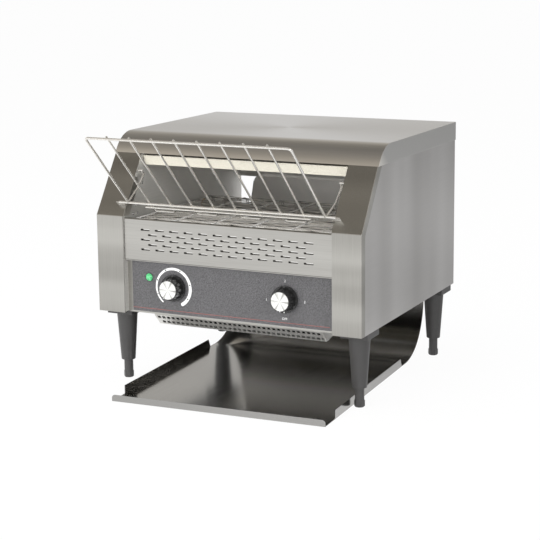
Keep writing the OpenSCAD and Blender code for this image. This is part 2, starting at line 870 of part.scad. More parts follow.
module panel_fascia() {
    low = body_lift + fascia_margin;
    high = control_top - fascia_margin;
    color("dimgray") placed() difference() {
        block([fascia_offset - fascia_w / 2, fascia_y, low],
              [fascia_offset + fascia_w / 2, control_inset, high]);
        panel_holes(fascia_y);
    }
}

// Perforated guard that slopes down and back under the control panel
module vent_guard() {
    slope_len = norm([guard_run, guard_drop]);
    slope = atan2(guard_drop, guard_run);
    half = guard_w / 2;
    pitch = guard_w / (guard_hole_count + 0.5);
    row_step = slope_len / 2;
    color(steel) placed() translate([guard_offset, control_inset, body_lift]) {
        difference() {
            along_x(-half, half) guard_view(slope);
            rotate([-slope, 0, 0]) for (row = [0, 1], i = [0:guard_hole_count - 1])
                translate([-half + (i + 0.5 + row / 2) * pitch - guard_hole_w / 2 + pitch / 4,
                           row_step * (row + 0.5) - guard_hole_h / 2, -sheet_t - flush_cut])
                    cube([guard_hole_w, guard_hole_h, sheet_t + 2 * flush_cut]);
        }
        for (x = [-half, half - sheet_t]) along_x(x, x + sheet_t) guard_side(slope);
        guard_end(half);
    }
}

// Side view of the guard: perforated slope, floor of the air duct and its upright back
module guard_view(slope) {
    out = sheet_t * [sin(slope), cos(slope)];
    low = -guard_drop - out.y;
    polygon([
        [0, 0], -out, [guard_run - out.x, low], [guard_duct_d, low], [guard_duct_d, 0],
        [guard_duct_d - sheet_t, 0], [guard_duct_d - sheet_t, low + sheet_t],
        [-(low + sheet_t) * guard_run / guard_drop, low + sheet_t]
    ]);
}

// Side view of the plate that closes each end of the duct
module guard_side(slope) {
    out = sheet_t * [sin(slope), cos(slope)];
    low = -guard_drop - out.y;
    polygon([[0, 0], -out, [guard_run - out.x, low], [guard_duct_d, low], [guard_duct_d, 0]]);
}

// Closed triangular end of the guard, on its right
module guard_end(half) {
    right = wall_x - guard_offset;
    polyhedron(
        points = [
            [half - sheet_t, 0, 0], [right, 0, 0], [half + sheet_t, guard_run, -guard_drop],
            [half - sheet_t, sheet_t, 0], [right, sheet_t, 0],
            [half + sheet_t, guard_run + sheet_t, -guard_drop]
        ],
        faces = [[0, 1, 2], [5, 4, 3], [0, 3, 4, 1], [1, 4, 5, 2], [2, 5, 3, 0]]
    );
}

// Bottom sheet of the body, with an opening at the back for the chute
module base_pan() {
    color("gainsboro") placed() difference() {
        block([-panel_inner_x, sheet_t, body_lift], [panel_inner_x, rear_face_y, base_top]);
        block([-wall_x, 0, body_lift - flush_cut], [wall_x, control_inset + sheet_t, base_top + flush_cut]);
        block([-wall_x, compartment_d, body_lift - flush_cut], [wall_x, body_d, base_top + flush_cut]);
        for (x = [-leg_x, leg_x], y = [leg_front_y, back_leg_y])
            translate([x, y, body_lift - flush_cut])
                cylinder(r = bolt_r + running_gap, h = sheet_t + 2 * flush_cut);
        for (i = [-5:5]) pan_slot(i * pan_slot_pitch);
    }
}

// Air slot in the bottom sheet in front of the fan
module pan_slot(x) {
    half = pan_slot_w / 2;
    block([x - half, pan_slot_y, body_lift - flush_cut],
          [x + half, pan_slot_y + pan_slot_l, base_top + flush_cut]);
}

// Flanged bushes that carry both belt shafts in the inner walls
module shaft_bearings() {
    color("peru") placed() for (s = [-1, 1], y = [front_axis_y, back_axis_y]) on_side(s) difference() {
        union() {
            x_rod(bush_r, wall_x, wall_out + bush_l, y, axis_z);
            x_rod(bush_flange_r, wall_out, wall_out + bush_flange_t, y, axis_z);
        }
        x_rod(shaft_r + running_gap, wall_x - flush_cut, wall_out + bush_l + flush_cut, y, axis_z);
    }
}

// Notched disc on a hub; the notches hold the belt's cross wires
module belt_sprocket(x, y) {
    difference() {
        union() {
            x_rod(belt_r + belt_tooth_h, x - sprocket_t / 2, x + sprocket_t / 2, y, axis_z);
            x_rod(shaft_r + hub_wall, x - belt_hub_l / 2, x + belt_hub_l / 2, y, axis_z);
        }
        x_rod(shaft_r, x - belt_hub_l, x + belt_hub_l, y, axis_z);
        for (i = [0:belt_teeth - 1]) {
            a = i * 360 / belt_teeth;
            x_rod(belt_wire_r + notch_gap, x - sprocket_t, x + sprocket_t,
                  y + belt_r * cos(a), axis_z + belt_r * sin(a));
        }
    }
}

module drive_shaft() {
    color(dark_steel) placed() x_rod(shaft_r, -shaft_end, chain_shaft_end, back_axis_y, axis_z);
}

module drive_sprockets() {
    color(dark_steel) placed() for (x = sprocket_places) belt_sprocket(x, back_axis_y);
}

module idler_shaft() {
    color(dark_steel) placed() x_rod(shaft_r, -shaft_end, shaft_end, front_axis_y, axis_z);
}

module idler_sprockets() {
    color(dark_steel) placed() for (x = sprocket_places) belt_sprocket(x, front_axis_y);
}

// Chain wheel: a disc with a round seat for every roller that opens into a wider gap
module chain_sprocket(y, z, bore) {
    half_t = roller_w / 2 - chain_side_gap;
    difference() {
        union() {
            x_rod(chain_r + chain_tooth_h, chain_x - half_t, chain_x + half_t, y, z);
            x_rod(bore + hub_wall, chain_x - half_t - chain_hub_l, chain_x + half_t, y, z);
        }
        x_rod(bore, chain_x - 2 * chain_hub_l, chain_x + 2 * chain_hub_l, y, z);
        for (i = [0:chain_teeth - 1]) {
            a = chain_lean + i * 360 / chain_teeth;
            relief = chain_r + chain_relief_out;
            x_rod(roller_r + roller_gap, chain_x - roller_w, chain_x + roller_w,
                  y + chain_r * cos(a), z - chain_r * sin(a));
            x_rod(chain_relief_r, chain_x - roller_w, chain_x + roller_w,
                  y + relief * cos(a), z - relief * sin(a));
        }
    }
}

module chain_wheel() {
    color(dark_steel) placed() chain_sprocket(back_axis_y, axis_z, shaft_r);
}

module motor_sprocket() {
    color(dark_steel) placed() chain_sprocket(motor_y, motor_z, motor_shaft_r);
}

module motor_shaft() {
    color(steel) placed()
        x_rod(motor_shaft_r, wall_x - gearbox_l / 2, chain_shaft_end, motor_y, motor_z);
}

// Places of the chain's rollers along its closed path, in a frame whose second axis points from
// the motor to the belt shaft
chain_links = 2 * chain_run_count + chain_teeth;
chain_half = chain_links / 2;
function chain_point(i) =
    i < chain_run_count ? [chain_r, i * chain_pitch]
    : i < chain_half ? chain_arc(i - chain_run_count, 0, chain_run_count * chain_pitch)
    : i < chain_half + chain_run_count ? [-chain_r, (chain_run_count - (i - chain_half)) * chain_pitch]
    : chain_arc(i - chain_half - chain_run_count, 180, 0);
function chain_arc(k, start, along) =
    let (a = start + k * 360 / chain_teeth) [chain_r * cos(a), along + chain_r * sin(a)];

// Plate of a link from one roller to the next, drawn in the chain's plane
module link_plate(p, q, h) {
    d = q - p;
    translate(p) rotate(atan2(d.y, d.x)) {
        translate([0, -h / 2]) square([norm(d), h]);
        for (e = [0, norm(d)]) translate([e, 0]) circle(r = h / 2, $fn = 16);
    }
}

module drive_chain() {
    color(dark_steel) placed()
        translate([chain_x, motor_y, motor_z]) rotate([90, 0, 90]) rotate(-chain_lean)
            for (i = [0:chain_links - 1])
                chain_link(chain_point(i), chain_point((i + 1) % chain_links), i % 2);
}

// One roller and pin with a pair of plates; every second pair lies outside its neighbours
module chain_link(p, q, outer) {
    side = roller_w / 2 + outer * (link_plate_t - tiny);
    pin_half = roller_w / 2 + 2 * link_plate_t + pin_head;
    h = link_plate_h - outer * plate_step;
    translate([p.x, p.y, -roller_w / 2 - tiny])
        cylinder(r = roller_r, h = roller_w + 2 * tiny, $fn = 24);
    translate([p.x, p.y, -pin_half]) cylinder(r = pin_r, h = 2 * pin_half, $fn = 24);
    for (z = [side, -side - link_plate_t])
        translate([0, 0, z]) linear_extrude(link_plate_t) link_plate(p, q, h);
}

// Places of the belt's cross wires along its closed path, in y and z
belt_links = 2 * belt_run_count + belt_teeth;
belt_half = belt_links / 2;
function belt_point(i) =
    i < belt_run_count ? [front_axis_y + i * belt_pitch, axis_z + belt_r]
    : i < belt_half ? belt_arc(i - belt_run_count, 90, back_axis_y)
    : i < belt_half + belt_run_count ? [back_axis_y - (i - belt_half) * belt_pitch, axis_z - belt_r]
    : belt_arc(i - belt_half - belt_run_count, -90, front_axis_y);
function belt_arc(k, start, y) =
    let (a = start - k * 360 / belt_teeth) [y + belt_r * cos(a), axis_z + belt_r * sin(a)];

// Belt: cross wires joined by zig-zag link columns
module wire_belt() {
    color(dark_steel) placed() {
        for (i = [0:belt_links - 1]) {
            p = belt_point(i);
            x_rod(belt_wire_r, -belt_w / 2, belt_w / 2, p.x, p.y);
        }
        for (x = link_columns, i = [0:belt_links - 1])
            belt_link(x + (i % 2 == 0 ? -1 : 1) * link_w / 2,
                      belt_point(i), belt_point((i + 1) % belt_links));
    }
}

// Short link wire between two neighbouring cross wires
module belt_link(x, p, q) {
    d = q - p;
    half_h = belt_wire_r - link_recess;
    translate([x, p.x, p.y]) rotate([atan2(d.y, d.x), 0, 0])
        translate([-belt_wire_r, -belt_wire_r / 2, -half_h])
            cube([2 * belt_wire_r, norm(d) + belt_wire_r, 2 * half_h]);
}

// Geared motor, screwed to the inside of the right wall
module gear_motor() {
    half = gearbox_w / 2;
    face_x = wall_x - gearbox_l;
    can_z = motor_z + motor_rise;
    color("darkgray") placed() difference() {
        union() {
            block([face_x, motor_y - half, can_z - motor_r], [wall_x, motor_y + half, motor_z + half]);
            x_rod(motor_r, face_x - motor_l, face_x, motor_y, can_z);
            x_rod(motor_cap_r, face_x - motor_l - motor_cap_l, face_x, motor_y, can_z);
        }
        x_rod(motor_shaft_r + running_gap, wall_x - gearbox_l / 2 - running_gap,
              wall_x + flush_cut, motor_y, motor_z);
    }
}

// Body of a rotary control behind the panel, with its blind spindle bearing
module control_body(x, depth) {
    back = control_inset + sheet_t;
    half = control_w / 2;
    difference() {
        union() {
            block([x - half, back, knob_z - half], [x + half, back + depth, knob_z + half]);
            y_rod(half - control_step, back + depth, back + depth + control_cap_l, x, knob_z);
        }
        y_rod(spindle_r + running_gap, back - flush_cut, back + spindle_seat, x, knob_z);
    }
}

module speed_regulator() {
    color("steelblue") placed() control_body(-knob_x, control_d);
}

module selector_switch() {
    color("dimgray") placed() control_body(knob_x, control_d + switch_extra_d);
}

module pilot_lamp_body() {
    back = control_inset + sheet_t;
    nut_l = 4;
    color("whitesmoke") placed() {
        y_rod(lamp_barrel_r, fascia_y, back + lamp_l, -lamp_x, lamp_z);
        difference() {
            y_rod(lamp_r + 2, back, back + nut_l, -lamp_x, lamp_z);
            y_rod(lamp_barrel_r - tiny, back - flush_cut, back + nut_l + flush_cut, -lamp_x, lamp_z);
        }
    }
}

// Domed lens of the pilot lamp
module pilot_lamp_lens() {
    dome_h = 2.4;
    dome_r = (lamp_r * lamp_r + dome_h * dome_h) / 2 / dome_h;
    rim = 0.6;
    color("limegreen") placed() translate([-lamp_x, fascia_y, lamp_z]) rotate([90, 0, 0]) {
        cylinder(r = lamp_r, h = rim);
        intersection() {
            translate([0, 0, rim + dome_h - dome_r]) sphere(r = dome_r);
            translate([0, 0, rim - tiny]) cylinder(r = lamp_r, h = dome_h + 1);
        }
    }
}

// Control board on four posts, with its larger components
module control_board() {
    x = -(wall_x - board_side_gap - board_w / 2);
    seat = post_h + board_t;
    color("seagreen") placed() translate([x, board_y, base_top]) {
        for (px = [-1, 1], py = [-1, 1])
            translate([px * (board_w / 2 - post_inset), py * (board_d / 2 - post_inset), 0])
                cylinder(r = post_r, h = post_h);
        translate([-board_w / 2, -board_d / 2, post_h]) cube([board_w, board_d, board_t]);
        translate([-board_w / 2 + relay_inset, -relay_d / 2, seat])
            cube([relay_w, relay_d, relay_h]);
        translate([filter_x, -filter_d / 2 - post_inset, seat]) cube([filter_w, filter_d, filter_h]);
        translate([big_can_x, can_y, seat]) cylinder(r = big_can_r, h = big_can_h);
        translate([small_can_x, can_y, seat]) cylinder(r = small_can_r, h = small_can_h);
    }
}

// Terminal block beside the cable gland
module terminal_block() {
    half = terminal_d / 2;
    over = flush_cut;
    color("ivory") placed() translate([-side_mid_x, back_leg_y - terminal_gap, base_top]) difference() {
        translate([-half, 0, 0]) cube([terminal_d, terminal_ways * terminal_pitch, terminal_h]);
        for (i = [0:terminal_ways - 1])
            translate([0, (i + 0.5) * terminal_pitch, terminal_h - terminal_hole_h])
                cylinder(r = terminal_hole_r, h = terminal_hole_h + over);
        for (i = [1:terminal_ways - 1])
            translate([-half - over, i * terminal_pitch - terminal_rib / 2, terminal_h - terminal_rib_h])
                cube([terminal_d + 2 * over, terminal_rib, terminal_rib_h + over]);
    }
}

// Thermal cut-out, clipped to the outside of the right wall
module thermal_cutout() {
    y = front_axis_y + belt_run_count * belt_pitch * cutout_share;
    z = (axis_z + heater_z) / 2;
    clip = wall_out + cutout_clip_t;
    end = clip + cutout_l;
    color("black") placed() {
        x_rod(cutout_r, clip, end, y, z);
        block([wall_out, y - cutout_clip_l / 2, z - cutout_clip_h / 2],
              [clip + tiny, y + cutout_clip_l / 2, z + cutout_clip_h / 2]);
        for (e = [-1, 1])
            block([end - tiny, y + (e * lug_gap - lug_t) / 2, z - lug_h / 2],
                  [end + lug_l, y + (e * lug_gap + lug_t) / 2, z + lug_h / 2]);
    }
}

// Cable gland in the back of the left compartment, with its nut inside
module cable_gland() {
    color("black") placed() translate([-side_mid_x, body_d, gland_z]) rotate([-90, 0, 0]) difference() {
        union() {
            cylinder(r = gland_hex_r, h = gland_collar_t, $fn = 6);
            cylinder(r1 = gland_cone_r, r2 = gland_tip_r, h = gland_out);
            translate([0, 0, -gland_back]) cylinder(r = gland_thread_r, h = gland_back + tiny);
            translate([0, 0, -gland_back]) cylinder(r = gland_hex_r, h = gland_nut_t, $fn = 6);
        }
        translate([0, 0, -gland_back - flush_cut])
            cylinder(r = gland_bore_r, h = gland_out + gland_back + 2 * flush_cut);
    }
}

// Square fan frame with its hub plate on four arms
module fan_frame() {
    corner = fan_w / 2 - fan_hole_inset;
    plate_z = fan_t - fan_plate_t;
    color("black") placed() translate([0, fan_y, fan_z]) rotate([-90, 0, 0]) {
        difference() {
            translate([-fan_w / 2, -fan_w / 2, 0]) cube([fan_w, fan_w, fan_t]);
            translate([0, 0, -flush_cut]) cylinder(r = fan_bore_r, h = fan_t + 2 * flush_cut);
            for (x = [-corner, corner], y = [-corner, corner])
                translate([x, y, -flush_cut]) cylinder(r = fan_hole_r, h = fan_t + 2 * flush_cut);
        }
        difference() {
            union() {
                translate([0, 0, plate_z]) cylinder(r = fan_hub_r, h = fan_plate_t);
                for (a = [0:90:270]) rotate(a + 45)
                    translate([fan_hub_r - fan_arm_lap, -fan_arm_w / 2, plate_z])
                        cube([fan_bore_r - fan_hub_r + 2 * fan_arm_lap, fan_arm_w, fan_plate_t]);
            }
            translate([0, 0, plate_z - flush_cut])
                cylinder(r = fan_pin_r + running_gap, h = fan_plate_t + 2 * flush_cut);
        }
    }
}

// Fan rotor: hub, pin and twisted vanes
module fan_rotor() {
    tip_r = fan_bore_r - fan_clearance;
    middle = rotor_front + vane_lap + vane_h / 2;
    color("darkslategray") placed() translate([0, fan_y, fan_z]) rotate([-90, 0, 0]) {
        translate([0, 0, rotor_front]) cylinder(r = fan_hub_r, h = rotor_l);
        cylinder(r = fan_pin_r, h = fan_t);
        intersection() {
            translate([0, 0, rotor_front]) cylinder(r = tip_r, h = rotor_l);
            for (i = [0:blade_count - 1]) rotate(i * 360 / blade_count)
                translate([fan_hub_r - vane_lap, 0, middle]) rotate([vane_twist, 0, 0])
                    translate([0, -vane_h / 2, -vane_t / 2]) cube([tip_r, vane_h, vane_t]);
        }
    }
}

// Leg: square flange, tapered post, blind holes for the bolt and for the foot's stem
module leg(x, y) {
    seat_top = leg_end_z + stem_l + foot_travel + stem_spare;
    placed() translate([x, y, 0]) difference() {
        union() {
            translate([-leg_flange_w / 2, -leg_flange_w / 2, flange_z])
                cube([leg_flange_w, leg_flange_w, leg_flange_t]);
            translate([0, 0, leg_end_z])
                cylinder(r1 = leg_end_r, r2 = leg_top_r, h = flange_z - leg_end_z + tiny);
        }
        translate([0, 0, leg_end_z - flush_cut])
            cylinder(r = stem_r + running_gap, h = seat_top + flush_cut - leg_end_z);
        translate([0, 0, body_lift - bolt_reach])
            cylinder(r = bolt_r + running_gap, h = bolt_reach + flush_cut);
    }
}

module front_left_leg() {
    color("dimgray") leg(-leg_x, leg_front_y);
}

module front_right_leg() {
    color("dimgray") leg(leg_x, leg_front_y);
}

module rear_left_leg() {
    color("dimgray") leg(-leg_x, back_leg_y);
}

module rear_right_leg() {
    color("dimgray") leg(leg_x, back_leg_y);
}

// Adjustable foot: hexagonal pad with a chamfered sole under a round stem
module foot(x, y) {
    chamfer = 1.4;
    placed() translate([x, y, 0]) {
        translate([0, 0, foot_h - tiny]) cylinder(r = stem_r, h = leg_end_z - foot_h + stem_l);
        intersection() {
            rotate(15) cylinder(r = foot_r, h = foot_h, $fn = 6);
            cylinder(r1 = foot_r - chamfer, r2 = foot_r - chamfer + foot_h, h = foot_h);
        }
    }
}

module front_left_foot() {
    color("dimgray") foot(-leg_x, leg_front_y);
}

module front_right_foot() {
    color("dimgray") foot(leg_x, leg_front_y);
}

module rear_left_foot() {
    color("dimgray") foot(-leg_x, back_leg_y);
}

module rear_right_foot() {
    color("dimgray") foot(leg_x, back_leg_y);
}

module leg_bolts() {
    color(steel) placed() for (x = [-leg_x, leg_x], y = [leg_front_y, back_leg_y]) translate([x, y, 0]) {
        translate([0, 0, base_top]) cylinder(r = bolt_head_r, h = bolt_head_h);
        translate([0, 0, body_lift - bolt_l]) cylinder(r = bolt_r, h = bolt_l + sheet_t + tiny);
    }
}

// Pan-head screws in the back of the body
module cover_screws() {
    color(steel) placed() {
        for (s = [-1, 1], z = cover_screw_heights) cover_screw(s * side_mid_x, z);
        for (x = hood_screw_places) cover_screw(x, hood_screw_z);
    }
}

module cover_screw(x, z) {
    y_rod(screw_r - running_gap, body_d - screw_l, body_d + tiny, x, z);
    translate([x, body_d, z]) rotate([-90, 0, 0])
        cylinder(r1 = screw_head_r, r2 = screw_top_r, h = screw_head_h);
}

// Knob: thin skirt, tapered and fluted grip, blind spindle bore
module knob(x) {
    grip_l = knob_l - skirt_t;
    slope = atan2(grip_r - grip_front_r, grip_l);
    translate([x, knob_back, knob_z]) rotate([90, 0, 0]) difference() {
        union() {
            cylinder(r = skirt_r, h = skirt_t);
            translate([0, 0, skirt_t - tiny]) cylinder(r1 = grip_r, r2 = grip_front_r, h = grip_l + tiny);
        }
        for (i = [0:flute_count - 1]) rotate((i + 0.5) * 360 / flute_count)
            translate([grip_r - flute_depth + flute_r, 0, skirt_t]) rotate([0, -slope, 0])
                cylinder(r = flute_r, h = knob_l);
        translate([0, 0, -flush_cut]) cylinder(r = spindle_r, h = flush_cut + knob_l / 2);
    }
}

module knob_cap(x) {
    front = knob_back - knob_l;
    y_rod(cap_face_r, front - cap_face_t, front, x, knob_z);
}

module spindle(x) {
    y_rod(spindle_r, knob_back - knob_l / 2, control_inset + sheet_t + spindle_seat - running_gap,
          x, knob_z);
}

module speed_knob() {
    color("black") placed() knob(-knob_x);
}

module speed_knob_cap() {
    color(steel) placed() knob_cap(-knob_x);
}

module speed_spindle() {
    color(steel) placed() spindle(-knob_x);
}

module selector_knob() {
    color("black") placed() knob(knob_x);
}

module selector_knob_cap() {
    color(steel) placed() knob_cap(knob_x);
}

module selector_spindle() {
    color(steel) placed() spindle(knob_x);
}

// Tray and chute in one sheet. Its own frame has y = 0 on the rear face of the back plate and
// the front lip at y = -tray_l.
module toast_tray() {
    color(dark_steel) placed() translate([0, tray_rear_y, 0]) rotate(tray_turn) {
        intersection() {
            along_x(-tray_w / 2, tray_w / 2) tray_profile();
            along_y(-tray_l - flush_cut, flush_cut) tray_outline();
        }
        along_y(-tray_l, -tray_l + tray_t) lip_outline();
        for (s = [-1, 1]) on_side(s) along_x(tray_w / 2 - tray_t, tray_w / 2) flange_outline();
    }
}

// Side view of the tray's sheet: flat floor, quarter bend, upright plate
module tray_profile() {
    centre = [-tray_curve_r, tray_curve_r];
    polygon(concat(
        [[-tray_l, tray_t], [-tray_l, 0]],
        arc(centre, tray_curve_r, -90, 0),
        [[0, tray_top_z], [-tray_t, tray_top_z]],
        arc(centre, tray_curve_r - tray_t, 0, -90)
    ));
}

// Front view of the tray: straight floor and bend, and a back plate that narrows upwards
module tray_outline() {
    half = tray_w / 2;
    r = tray_corner_r;
    difference() {
        polygon([
            [-half, -flush_cut], [half, -flush_cut], [half, flange_h], [half - tray_waist, tray_curve_r],
            [tray_top_half_w, tray_top_z], [-tray_top_half_w, tray_top_z],
            [-half + tray_waist, tray_curve_r], [-half, flange_h]
        ]);
        for (s = [-1, 1]) translate([s * (tray_top_half_w - r), tray_top_z - r]) difference() {
            translate([s < 0 ? -2 * r : 0, 0]) square([2 * r, 2 * r]);
            circle(r = r);
        }
    }
}

module lip_outline() {
    half = tray_w / 2;
    r = lip_h / 2;
    translate([-half, 0]) square([2 * half, lip_h - r]);
    translate([-half + r, 0]) square([2 * (half - r), lip_h]);
    for (s = [-1, 1]) translate([s * (half - r), lip_h - r]) circle(r = r);
}

module flange_outline() {
    chamfer = flange_h / 2;
    polygon([
        [-tray_l + flange_start, 0], [-tray_l + flange_start, flange_h],
        [-flange_end - chamfer, flange_h], [-flange_end, 0]
    ]);
}

// Straight wire between two points
module wire(p, q, r) {
    d = q - p;
    translate(p) rotate([0, acos(d.z / norm(d)), atan2(d.y, d.x)])
        cylinder(r = r, h = norm(d), $fn = 24);
}

// Quarter bend of a wire of radius r from the x axis to the y axis, drawn in x and z
module wire_bend(r) {
    rotate([90, 0, 0]) rotate_extrude(angle = 90, $fn = 32)
        translate([rack_bend_r, 0]) circle(r = r, $fn = 24);
}

// Rack plane: x across, z down the slope from the top bar, y out of the slope's front
module rack_plane() {
    translate([0, -rack_reach, rack_top_z]) rotate([rack_angle - 180, 0, 0]) children();
}

// Two sloping wires that turn into each other at their lower ends
module wire_pair(x, off) {
    far = rack_len + slope_tail;
    translate([x, off, 0]) {
        for (e = [0, slope_wire_pitch])
            translate([e, 0, -wire_tip])
                cylinder(r = slope_wire_r, h = far - rack_bend_r + wire_tip, $fn = 24);
        translate([rack_bend_r, 0, far - rack_bend_r]) mirror([1, 0, 0]) wire_bend(slope_wire_r);
        translate([slope_wire_pitch - rack_bend_r, 0, far - rack_bend_r])
            wire_bend(slope_wire_r);
        x_rod(slope_wire_r, rack_bend_r, slope_wire_pitch - rack_bend_r, 0, far);
    }
}

// Loading rack: one bent frame wire, two cross bars, paired sloping wires and two pivot hooks
module loading_rack() {
    first_x = -(slope_wire_count - 1) * slope_wire_pitch / 2;
    short_bar_offset = 2 * slope_wire_r - weld - wire_offset;
    top_half = rack_half_w - rack_bend_r;
    bar_half = rest_half_w - rest_l / 2;
    color("gainsboro") placed() {
        rack_plane() {
            x_rod(frame_wire_r, -top_half, top_half, 0, 0);
            x_rod(frame_wire_r, -bar_half, bar_half, 0, rack_len);
            x_rod(slope_wire_r, -short_bar_half_w, short_bar_half_w,
                  short_bar_offset, rack_len + short_bar_drop);
            for (s = [-1, 1]) on_side(s) {
                translate([top_half, 0, rack_bend_r]) mirror([0, 0, 1]) wire_bend(frame_wire_r);
                translate([rack_half_w, 0, rack_bend_r])
                    cylinder(r = frame_wire_r, h = rack_len - rack_bend_r);
            }
            for (i = [0:2:slope_wire_count - 1]) wire_pair(first_x + i * slope_wire_pitch, -wire_offset);
        }
        for (s = [-1, 1]) on_side(s) {
            along_x(rest_half_w - rest_l, rest_half_w) rest_tab();
            rack_hook();
        }
    }
}

// Side view of a flattened end: a flat strip from the lower bar back to the face of the cheek
module rest_tab() {
    half_t = rest_t / 2;
    out = [-cheek_rise, cheek_run] / cheek_len;
    low = [rack_low_y, rack_low_z];
    reach = (slant_y(low.y, 0) - low.x) * cheek_rise / cheek_len - rest_gap;
    translate(low) rotate(atan2(-out.y, -out.x)) translate([0, -half_t]) square([reach, 2 * half_t]);
}

// Hook from the foot of the frame up to the pivot hole in the inner wall
module rack_hook() {
    x = rack_half_w + hook_out;
    points = [
        [rack_half_w + frame_wire_r / 2, rack_low_y, rack_low_z],
        [x, hook_y - hook_bend_y, hook_z - hook_bend_z],
        [x, hook_y + hook_neck_y, hook_z - hook_neck_z],
        [x, hook_y, hook_z]
    ];
    for (i = [0:2]) wire(points[i], points[i + 1], slope_wire_r);
    for (i = [1:3]) translate(points[i]) sphere(r = slope_wire_r + bead);
    x_rod(slope_wire_r, x, wall_out + 1, hook_y, hook_z);
}

left_inner_wall();
right_inner_wall();
left_side_panel();
right_side_panel();
left_front_column();
right_front_column();
hood();
rear_panel();
heater_housing();
upper_heater_tubes();
lower_heater_tubes();
heater_end_caps();
chamber_floor();
front_grille();
grille_baffle();
control_panel();
panel_fascia();
vent_guard();
base_pan();
shaft_bearings();
drive_shaft();
drive_sprockets();
chain_wheel();
idler_shaft();
idler_sprockets();
wire_belt();
drive_chain();
gear_motor();
motor_shaft();
motor_sprocket();
speed_regulator();
selector_switch();
pilot_lamp_body();
pilot_lamp_lens();
control_board();
terminal_block();
thermal_cutout();
cable_gland();
fan_frame();
fan_rotor();
front_left_leg();
front_right_leg();
rear_left_leg();
rear_right_leg();
front_left_foot();
front_right_foot();
rear_left_foot();
rear_right_foot();
leg_bolts();
cover_screws();
speed_knob();
speed_knob_cap();
speed_spindle();
selector_knob();
selector_knob_cap();
selector_spindle();
toast_tray();
loading_rack();
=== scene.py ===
"""Finishes, trim and studio for a countertop conveyor toaster.

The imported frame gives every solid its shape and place. This script dresses those solids, rounds
the bends and edges of the sheet metal, adds the printed dial marks and small fasteners, and sets
the studio. Lengths are in metres: x runs across the machine, y from its front to its back, z up.
"""

import json
import logging
import math
from dataclasses import dataclass, field
from enum import Enum

import bmesh
import bpy
from mathutils import Matrix, Vector

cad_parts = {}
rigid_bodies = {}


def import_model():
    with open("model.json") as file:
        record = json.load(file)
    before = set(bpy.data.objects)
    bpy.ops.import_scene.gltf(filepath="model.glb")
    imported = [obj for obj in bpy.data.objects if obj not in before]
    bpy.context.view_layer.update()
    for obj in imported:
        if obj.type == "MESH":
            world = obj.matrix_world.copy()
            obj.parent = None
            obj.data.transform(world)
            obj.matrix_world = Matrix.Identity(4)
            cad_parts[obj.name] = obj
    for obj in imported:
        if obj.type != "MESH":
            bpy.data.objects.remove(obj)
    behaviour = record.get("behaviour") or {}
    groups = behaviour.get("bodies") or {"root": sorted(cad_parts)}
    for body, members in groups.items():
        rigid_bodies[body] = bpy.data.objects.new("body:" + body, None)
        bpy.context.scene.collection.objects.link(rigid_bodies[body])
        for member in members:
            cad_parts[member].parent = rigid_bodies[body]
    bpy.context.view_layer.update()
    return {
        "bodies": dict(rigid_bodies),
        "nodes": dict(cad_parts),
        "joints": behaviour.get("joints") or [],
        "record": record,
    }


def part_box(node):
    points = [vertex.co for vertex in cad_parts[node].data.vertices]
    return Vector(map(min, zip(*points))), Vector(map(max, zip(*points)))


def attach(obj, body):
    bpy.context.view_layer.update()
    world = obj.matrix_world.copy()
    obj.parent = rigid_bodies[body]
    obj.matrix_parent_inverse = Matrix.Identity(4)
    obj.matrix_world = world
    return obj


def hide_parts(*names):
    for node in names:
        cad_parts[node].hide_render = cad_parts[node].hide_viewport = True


log = logging.getLogger("toaster")
MM = 0.001
BODY = "housing"
WHITE = (1, 1, 1, 1)

MERGE = 0.002 * MM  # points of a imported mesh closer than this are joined
FLAT_DEG = 0.4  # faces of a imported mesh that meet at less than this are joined
INK = 0.04 * MM  # thickness of a print
SAME = 1e-8  # points of a print closer than this are joined
FACETS = 12  # facets of half a turn in a print

GRAIN_SPAN = (0.34, 0.66)  # noise levels between which a sheet goes from dark to light
GRAIN_ROUGH = (-0.06, 0.08)  # least and most that its scratches add to the roughness
SPECK_SPAN = (0.32, 0.68)  # noise levels between which specks go from dark to light
SPECK_ROUGH = (-0.08, 0.08)  # least and most that the cloud adds to the roughness
SPECK_SHARE = 0.95  # share of the specks in the colour; the rest is the cloud's

BMesh = bmesh.types.BMesh
Material = bpy.types.Material
Mesh = bpy.types.Mesh
Node = bpy.types.Node
Piece = bpy.types.Object
Point = tuple[float, float]
Socket = bpy.types.NodeSocket
Tree = bpy.types.NodeTree
Triple = tuple[float, float, float]
Colour = Triple


# ---------------------------------------------------------------- meshes


def link(piece: Piece) -> Piece:
    """Puts an object into the scene and returns it."""
    bpy.context.scene.collection.objects.link(piece)
    return piece


def as_mesh(name: str, bm: BMesh) -> Mesh:
    """Turns a bmesh into a mesh and frees it."""
    mesh = bpy.data.meshes.new(name)
    bm.to_mesh(mesh)
    bm.free()
    return mesh


def evaluated(piece: Piece) -> Mesh:
    """The mesh that an object has after its modifiers, as data of its own."""
    graph = bpy.context.evaluated_depsgraph_get()
    return bpy.data.meshes.new_from_object(piece.evaluated_get(graph), depsgraph=graph)


def settle(piece: Piece, body: str) -> Piece:
    """Attaches a finished piece to the body that it rides on, and logs it.

    Args:
        piece: the piece.
        body: the body that it moves with.

    Returns:
        The same piece.
    """
    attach(piece, body)
    log.info("piece %s: %d faces", piece.name, len(piece.data.polygons))
    return piece


def shade(mesh: Mesh, sharp_deg: float = 32.0) -> None:
    """Smooth shading, with edges over sharp_deg kept sharp."""
    mesh.shade_smooth()
    mesh.set_sharp_from_angle(angle=math.radians(sharp_deg))


